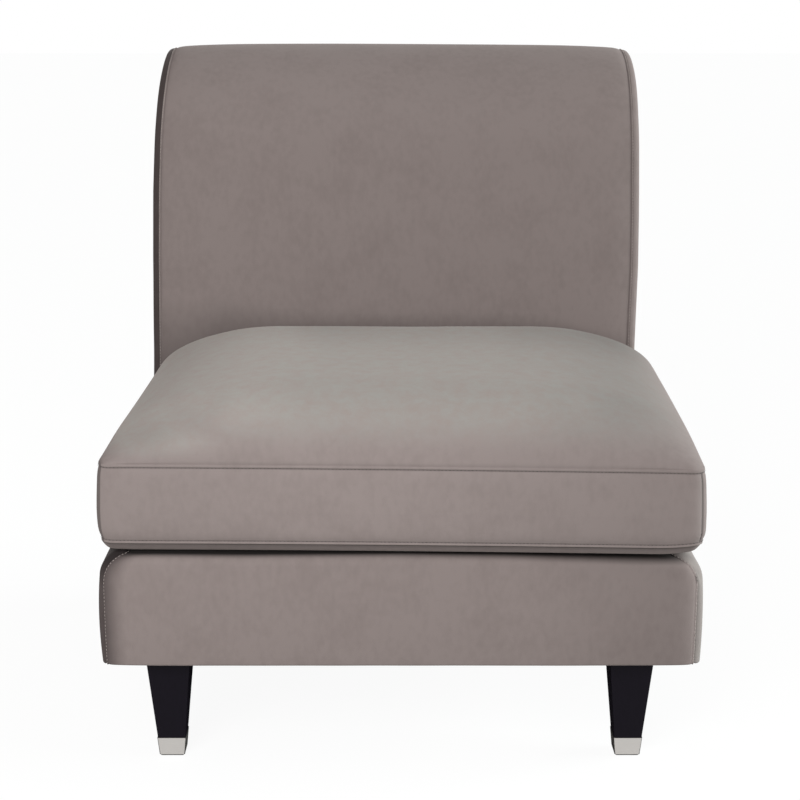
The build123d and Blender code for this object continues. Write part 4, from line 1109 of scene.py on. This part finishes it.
groove = [int(np.argmin(np.abs(drop - d))) for d in (4.2, BOXING - 4.2)]
cushion_seams = []
for row in groove:
    loop = strip[row] + np.c_[rim_out, np.zeros(len(rim_out))] * 0.55
    cushion_seams.append(np.r_[loop, loop[:1]])
cushion_seams.append(strip[between][:, corner_column - 1])
stitch["body"] = "seat_cushion"
beads_along("cushion_topstitching", cushion_seams, shaded_thread, width=0.7, height=0.7, **stitch)

# %% [markdown]
# ## The zip
# A coil zip closes the rear of the strip, so that the cover can be washed. Two rows of teeth stand on
# narrow tapes. The teeth are beads again, 1.6 mm apart; each tape is a thin woven band.

# %% Zip teeth and tapes
zip_tape = woven("zip_tape", "#6A605B", "#8A7F7A", 1.2, 0.85)
zip_low, zip_high = drawn_box("zip_rows")
_, zip_y, zip_z = (zip_low + zip_high) / 2
tooth_lines, tape_points, tape_faces = [], [], []
tape_x = np.linspace(zip_low[0] - 14, zip_high[0] + 14, 60)
tape_section = [(zip_y - 0.75, 1.5), (zip_y - 0.75, 6.6), (zip_y - 0.1, 6.4), (zip_y - 0.1, 1.5)]
for sign in (-1, 1):
    tooth_lines.append(np.array([[x, zip_y, zip_z + sign * 1.35] for x in (zip_low[0] + 1, zip_high[0] - 1)]))
    corners = len(tape_points) + np.arange(4 * len(tape_x)).reshape(-1, 4)
    tape_points += [(x, y, zip_z + sign * z) for x in tape_x for y, z in tape_section]
    tape_faces += [*quads(np.c_[corners, corners[:, :1]]), corners[0], corners[-1][::-1]]
on_cushion = {"body": "seat_cushion", "slot": "zip_coil"}
tooth = {"pitch": 1.6, "length": 1.15, "width": 1.7, "height": 1.5}
teeth = beads_along("zip_teeth", tooth_lines, zip_coil, **tooth, **on_cushion)
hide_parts("zip_rows")
tapes = new_piece("zip_tapes", np.array(tape_points), tape_faces, zip_tape, **on_cushion)
tapes.data.polygons.foreach_set("use_smooth", np.zeros(len(tapes.data.polygons), bool))
print(f"zip at {zip_z:.1f} mm above the floor")

# %% [markdown]
# ## Staples
# The dust cover is stapled every 40 mm along its edges. Each staple's crown is a flat bead of wire.

# %% Staples under the frame
STAPLE_IN, staple_z = 7.0, dust_low[2] + 0.1
x0, y0 = dust_low[:2] + STAPLE_IN
x1, y1 = dust_high[:2] - STAPLE_IN
corners = np.array([(x0, y0), (x1, y0), (x1, y1), (x0, y1)])
staple_lines = []
for a, b in zip(corners, np.roll(corners, -1, axis=0)):
    staple_lines.append(np.array([[*a + (b - a) * t, staple_z] for t in (0.03, 0.97)]))
staple = {"pitch": 40, "length": 10, "width": 1.2, "height": 0.7}
beads_along("dust_cover_staples", staple_lines, zinc_steel, slot="steel", **staple)

# %% [markdown]
# ## The frame inside
# Every CAD node gets the finish of the real thing by the start of its name, even where a cover hides
# it. The straps of the back are woven from rubbered yarn: dark rubber with pale threads.

# %% Finishes for every CAD node
strap = woven("rubbered_webbing", "#3B342F", "#9C8E7D", 3.0, 0.9)
starts = {
    zinc_steel: "leg_plates spring_clips clip_nails plate_screws hanger_bolts",
    lacquer: "leg_",
    nickel: "ferrule_",
    glide_nylon: "glides",
    spring_wire: "seat_spring",
    strap: "back_webbing",
    hardboard: "outside_back_panel",
    slider_metal: "zip_slider",
    pine: "front_rail rear_rail side_rail corner_block back_post back_lower back_middle back_top",
    zip_coil: "zip_rows",
    deck_lining: "deck",
    dust_black: "dust",
    velvet_cushion: "cushion",
    velvet_base: "base",
    velvet_back: "back outside",
}
for name, node in nodes.items():
    finish = next(made for made, words in starts.items() if name.startswith(tuple(words.split())))
    node.data.materials.clear()
    node.data.materials.append(finish)
print(len(nodes), "nodes have a finish")

# %% [markdown]
# ## The white studio
# A pale floor keeps the soft shadow, and the surround is an even white. What the polished ferrules mirror is
# painted apart from what the camera sees: a painted bright reflection of the floor ahead of the legs and a
# painted dark one of the floor below the chair, so that they stay a calm grey.

# %% Floor and surround
reach = 30.0
floor_mesh = bpy.data.meshes.new("studio_floor")
floor_corners = [(-reach, -reach, 0), (reach, -reach, 0), (reach, reach, 0), (-reach, reach, 0)]
floor_mesh.from_pydata(floor_corners, [], [(0, 1, 2, 3)])
floor = placed("studio_floor", floor_mesh)
# White paper with faint clouds, bright where the camera sees it; in the ferrules a painted bright reflection
# ahead of the legs and a painted dark reflection below the chair
paper, tree, place = finish_named("white_studio_paper")
seen_by = add(tree, "LightPath").outputs
clouds = add(tree, "TexNoise", {"Vector": place, "Scale": 0.8})
clouds = add(tree, "ValToRGB", {"Fac": clouds}, [(0.0, "#C0C0BF"), (1.0, "#C6C6C5")])
matt = add(tree, "BsdfDiffuse", {"Color": clouds})
lift = add(tree, "Emission", {"Color": (1, 1, 1, 1), "Strength": 1.09})
lit = add(tree, "MixShader", {0: 0.85, 1: matt, 2: lift})
# Painted reflection: glossy rays that meet the floor ahead of the legs see the bright white, as the camera
# does
ahead = add(tree, "SeparateXYZ", {"Vector": place}).outputs["Y"]
ahead = add(tree, "Math", {0: ahead, 1: -0.412}, operation="LESS_THAN")
mirrored_ahead = add(tree, "Math", {0: seen_by["Is Glossy Ray"], 1: ahead}, operation="MULTIPLY")
direct = add(tree, "Math", {0: seen_by["Is Camera Ray"], 1: mirrored_ahead}, operation="MAXIMUM")
off_middle = add(tree, "VectorMath", {0: place}, operation="ABSOLUTE")
off_middle = add(tree, "SeparateXYZ", {"Vector": off_middle}).outputs
within_x = add(tree, "Math", {0: off_middle["X"], 1: 0.40}, operation="LESS_THAN")
within_y = add(tree, "Math", {0: off_middle["Y"], 1: 0.45}, operation="LESS_THAN")
under = add(tree, "Math", {0: within_x, 1: within_y}, operation="MULTIPLY")
mirrored_under = add(tree, "Math", {0: under, 1: seen_by["Is Glossy Ray"]}, operation="MULTIPLY")
# Painted reflection: glossy rays that meet the floor below the chair see this dark paper instead
shade = add(tree, "BsdfDiffuse", {"Color": linear("#2A2827")})
plain = add(tree, "MixShader", {0: mirrored_under, 1: matt, 2: shade})
paper_mix = add(tree, "MixShader", {0: direct, 1: plain, 2: lit})
add(tree, "OutputMaterial", {"Surface": paper_mix})
floor_mesh.materials.append(paper)

world = bpy.data.worlds.new("white_studio")
bpy.context.scene.world = world
world.use_nodes = True
sky = world.node_tree
sky.nodes.clear()
ray = add(sky, "LightPath").outputs
seen = add(sky, "Math", {0: ray["Is Camera Ray"], 1: ray["Is Transmission Ray"]}, operation="MAXIMUM")
seen = add(sky, "Math", {0: seen, 1: ray["Is Glossy Ray"]}, operation="MAXIMUM")
ambient, backdrop = (add(sky, "Background", {"Color": (1, 1, 1, 1), "Strength": s}) for s in (0.36, 1.0))
sky_mix = add(sky, "MixShader", {0: seen, 1: ambient, 2: backdrop})
add(sky, "OutputWorld", {"Surface": sky_mix})
print("studio:", floor.name, "and", world.name)

# %% [markdown]
# ## Lights and camera
# A softbox stands in front, a little to the left, and a broad light from the right brightens the
# right bands. The camera stands where the photograph was taken: 1.92 m in front, 0.95 m high,
# looking a little down.

# %% Lights and camera


def aimed(thing, way):
    """Turn a light to shine along a direction."""
    thing.rotation_euler = Vector(way).to_track_quat("-Z", "Y").to_euler()


softbox = bpy.data.lights.new("front_softbox", "AREA")
softbox.energy, softbox.size = 58.5, 1.5
softbox_object = placed("front_softbox", softbox)
softbox_object.location = (-0.9, -2.6, 1.55)
aimed(softbox_object, (0.9, 2.15, -1.15))
window = bpy.data.lights.new("right_side_light", "SUN")
window.energy, window.angle, window.color = 5.0, math.radians(40), (0.93, 1.0, 1.0)
aimed(placed("right_side_light", window), (-0.94, -0.09, -0.20))

camera = bpy.data.cameras.new("photo_camera")
camera.lens, camera.sensor_width, camera.shift_x = 73.73, 36.0, 0.0213
camera_object = placed("photo_camera", camera)
camera_object.location = (-0.0217, -2.3658, 0.9498)
camera_object.rotation_euler = (math.radians(90 - 13.63), 0, 0)
bpy.context.scene.camera = camera_object
bpy.context.scene.view_settings.view_transform = "Standard"
print("camera at", [round(v, 3) for v in camera_object.location])

# %% [markdown]
# Padding may stand a little proud of the CAD solids but must not change the chair's size.

# %% Finish
bpy.context.view_layer.update()
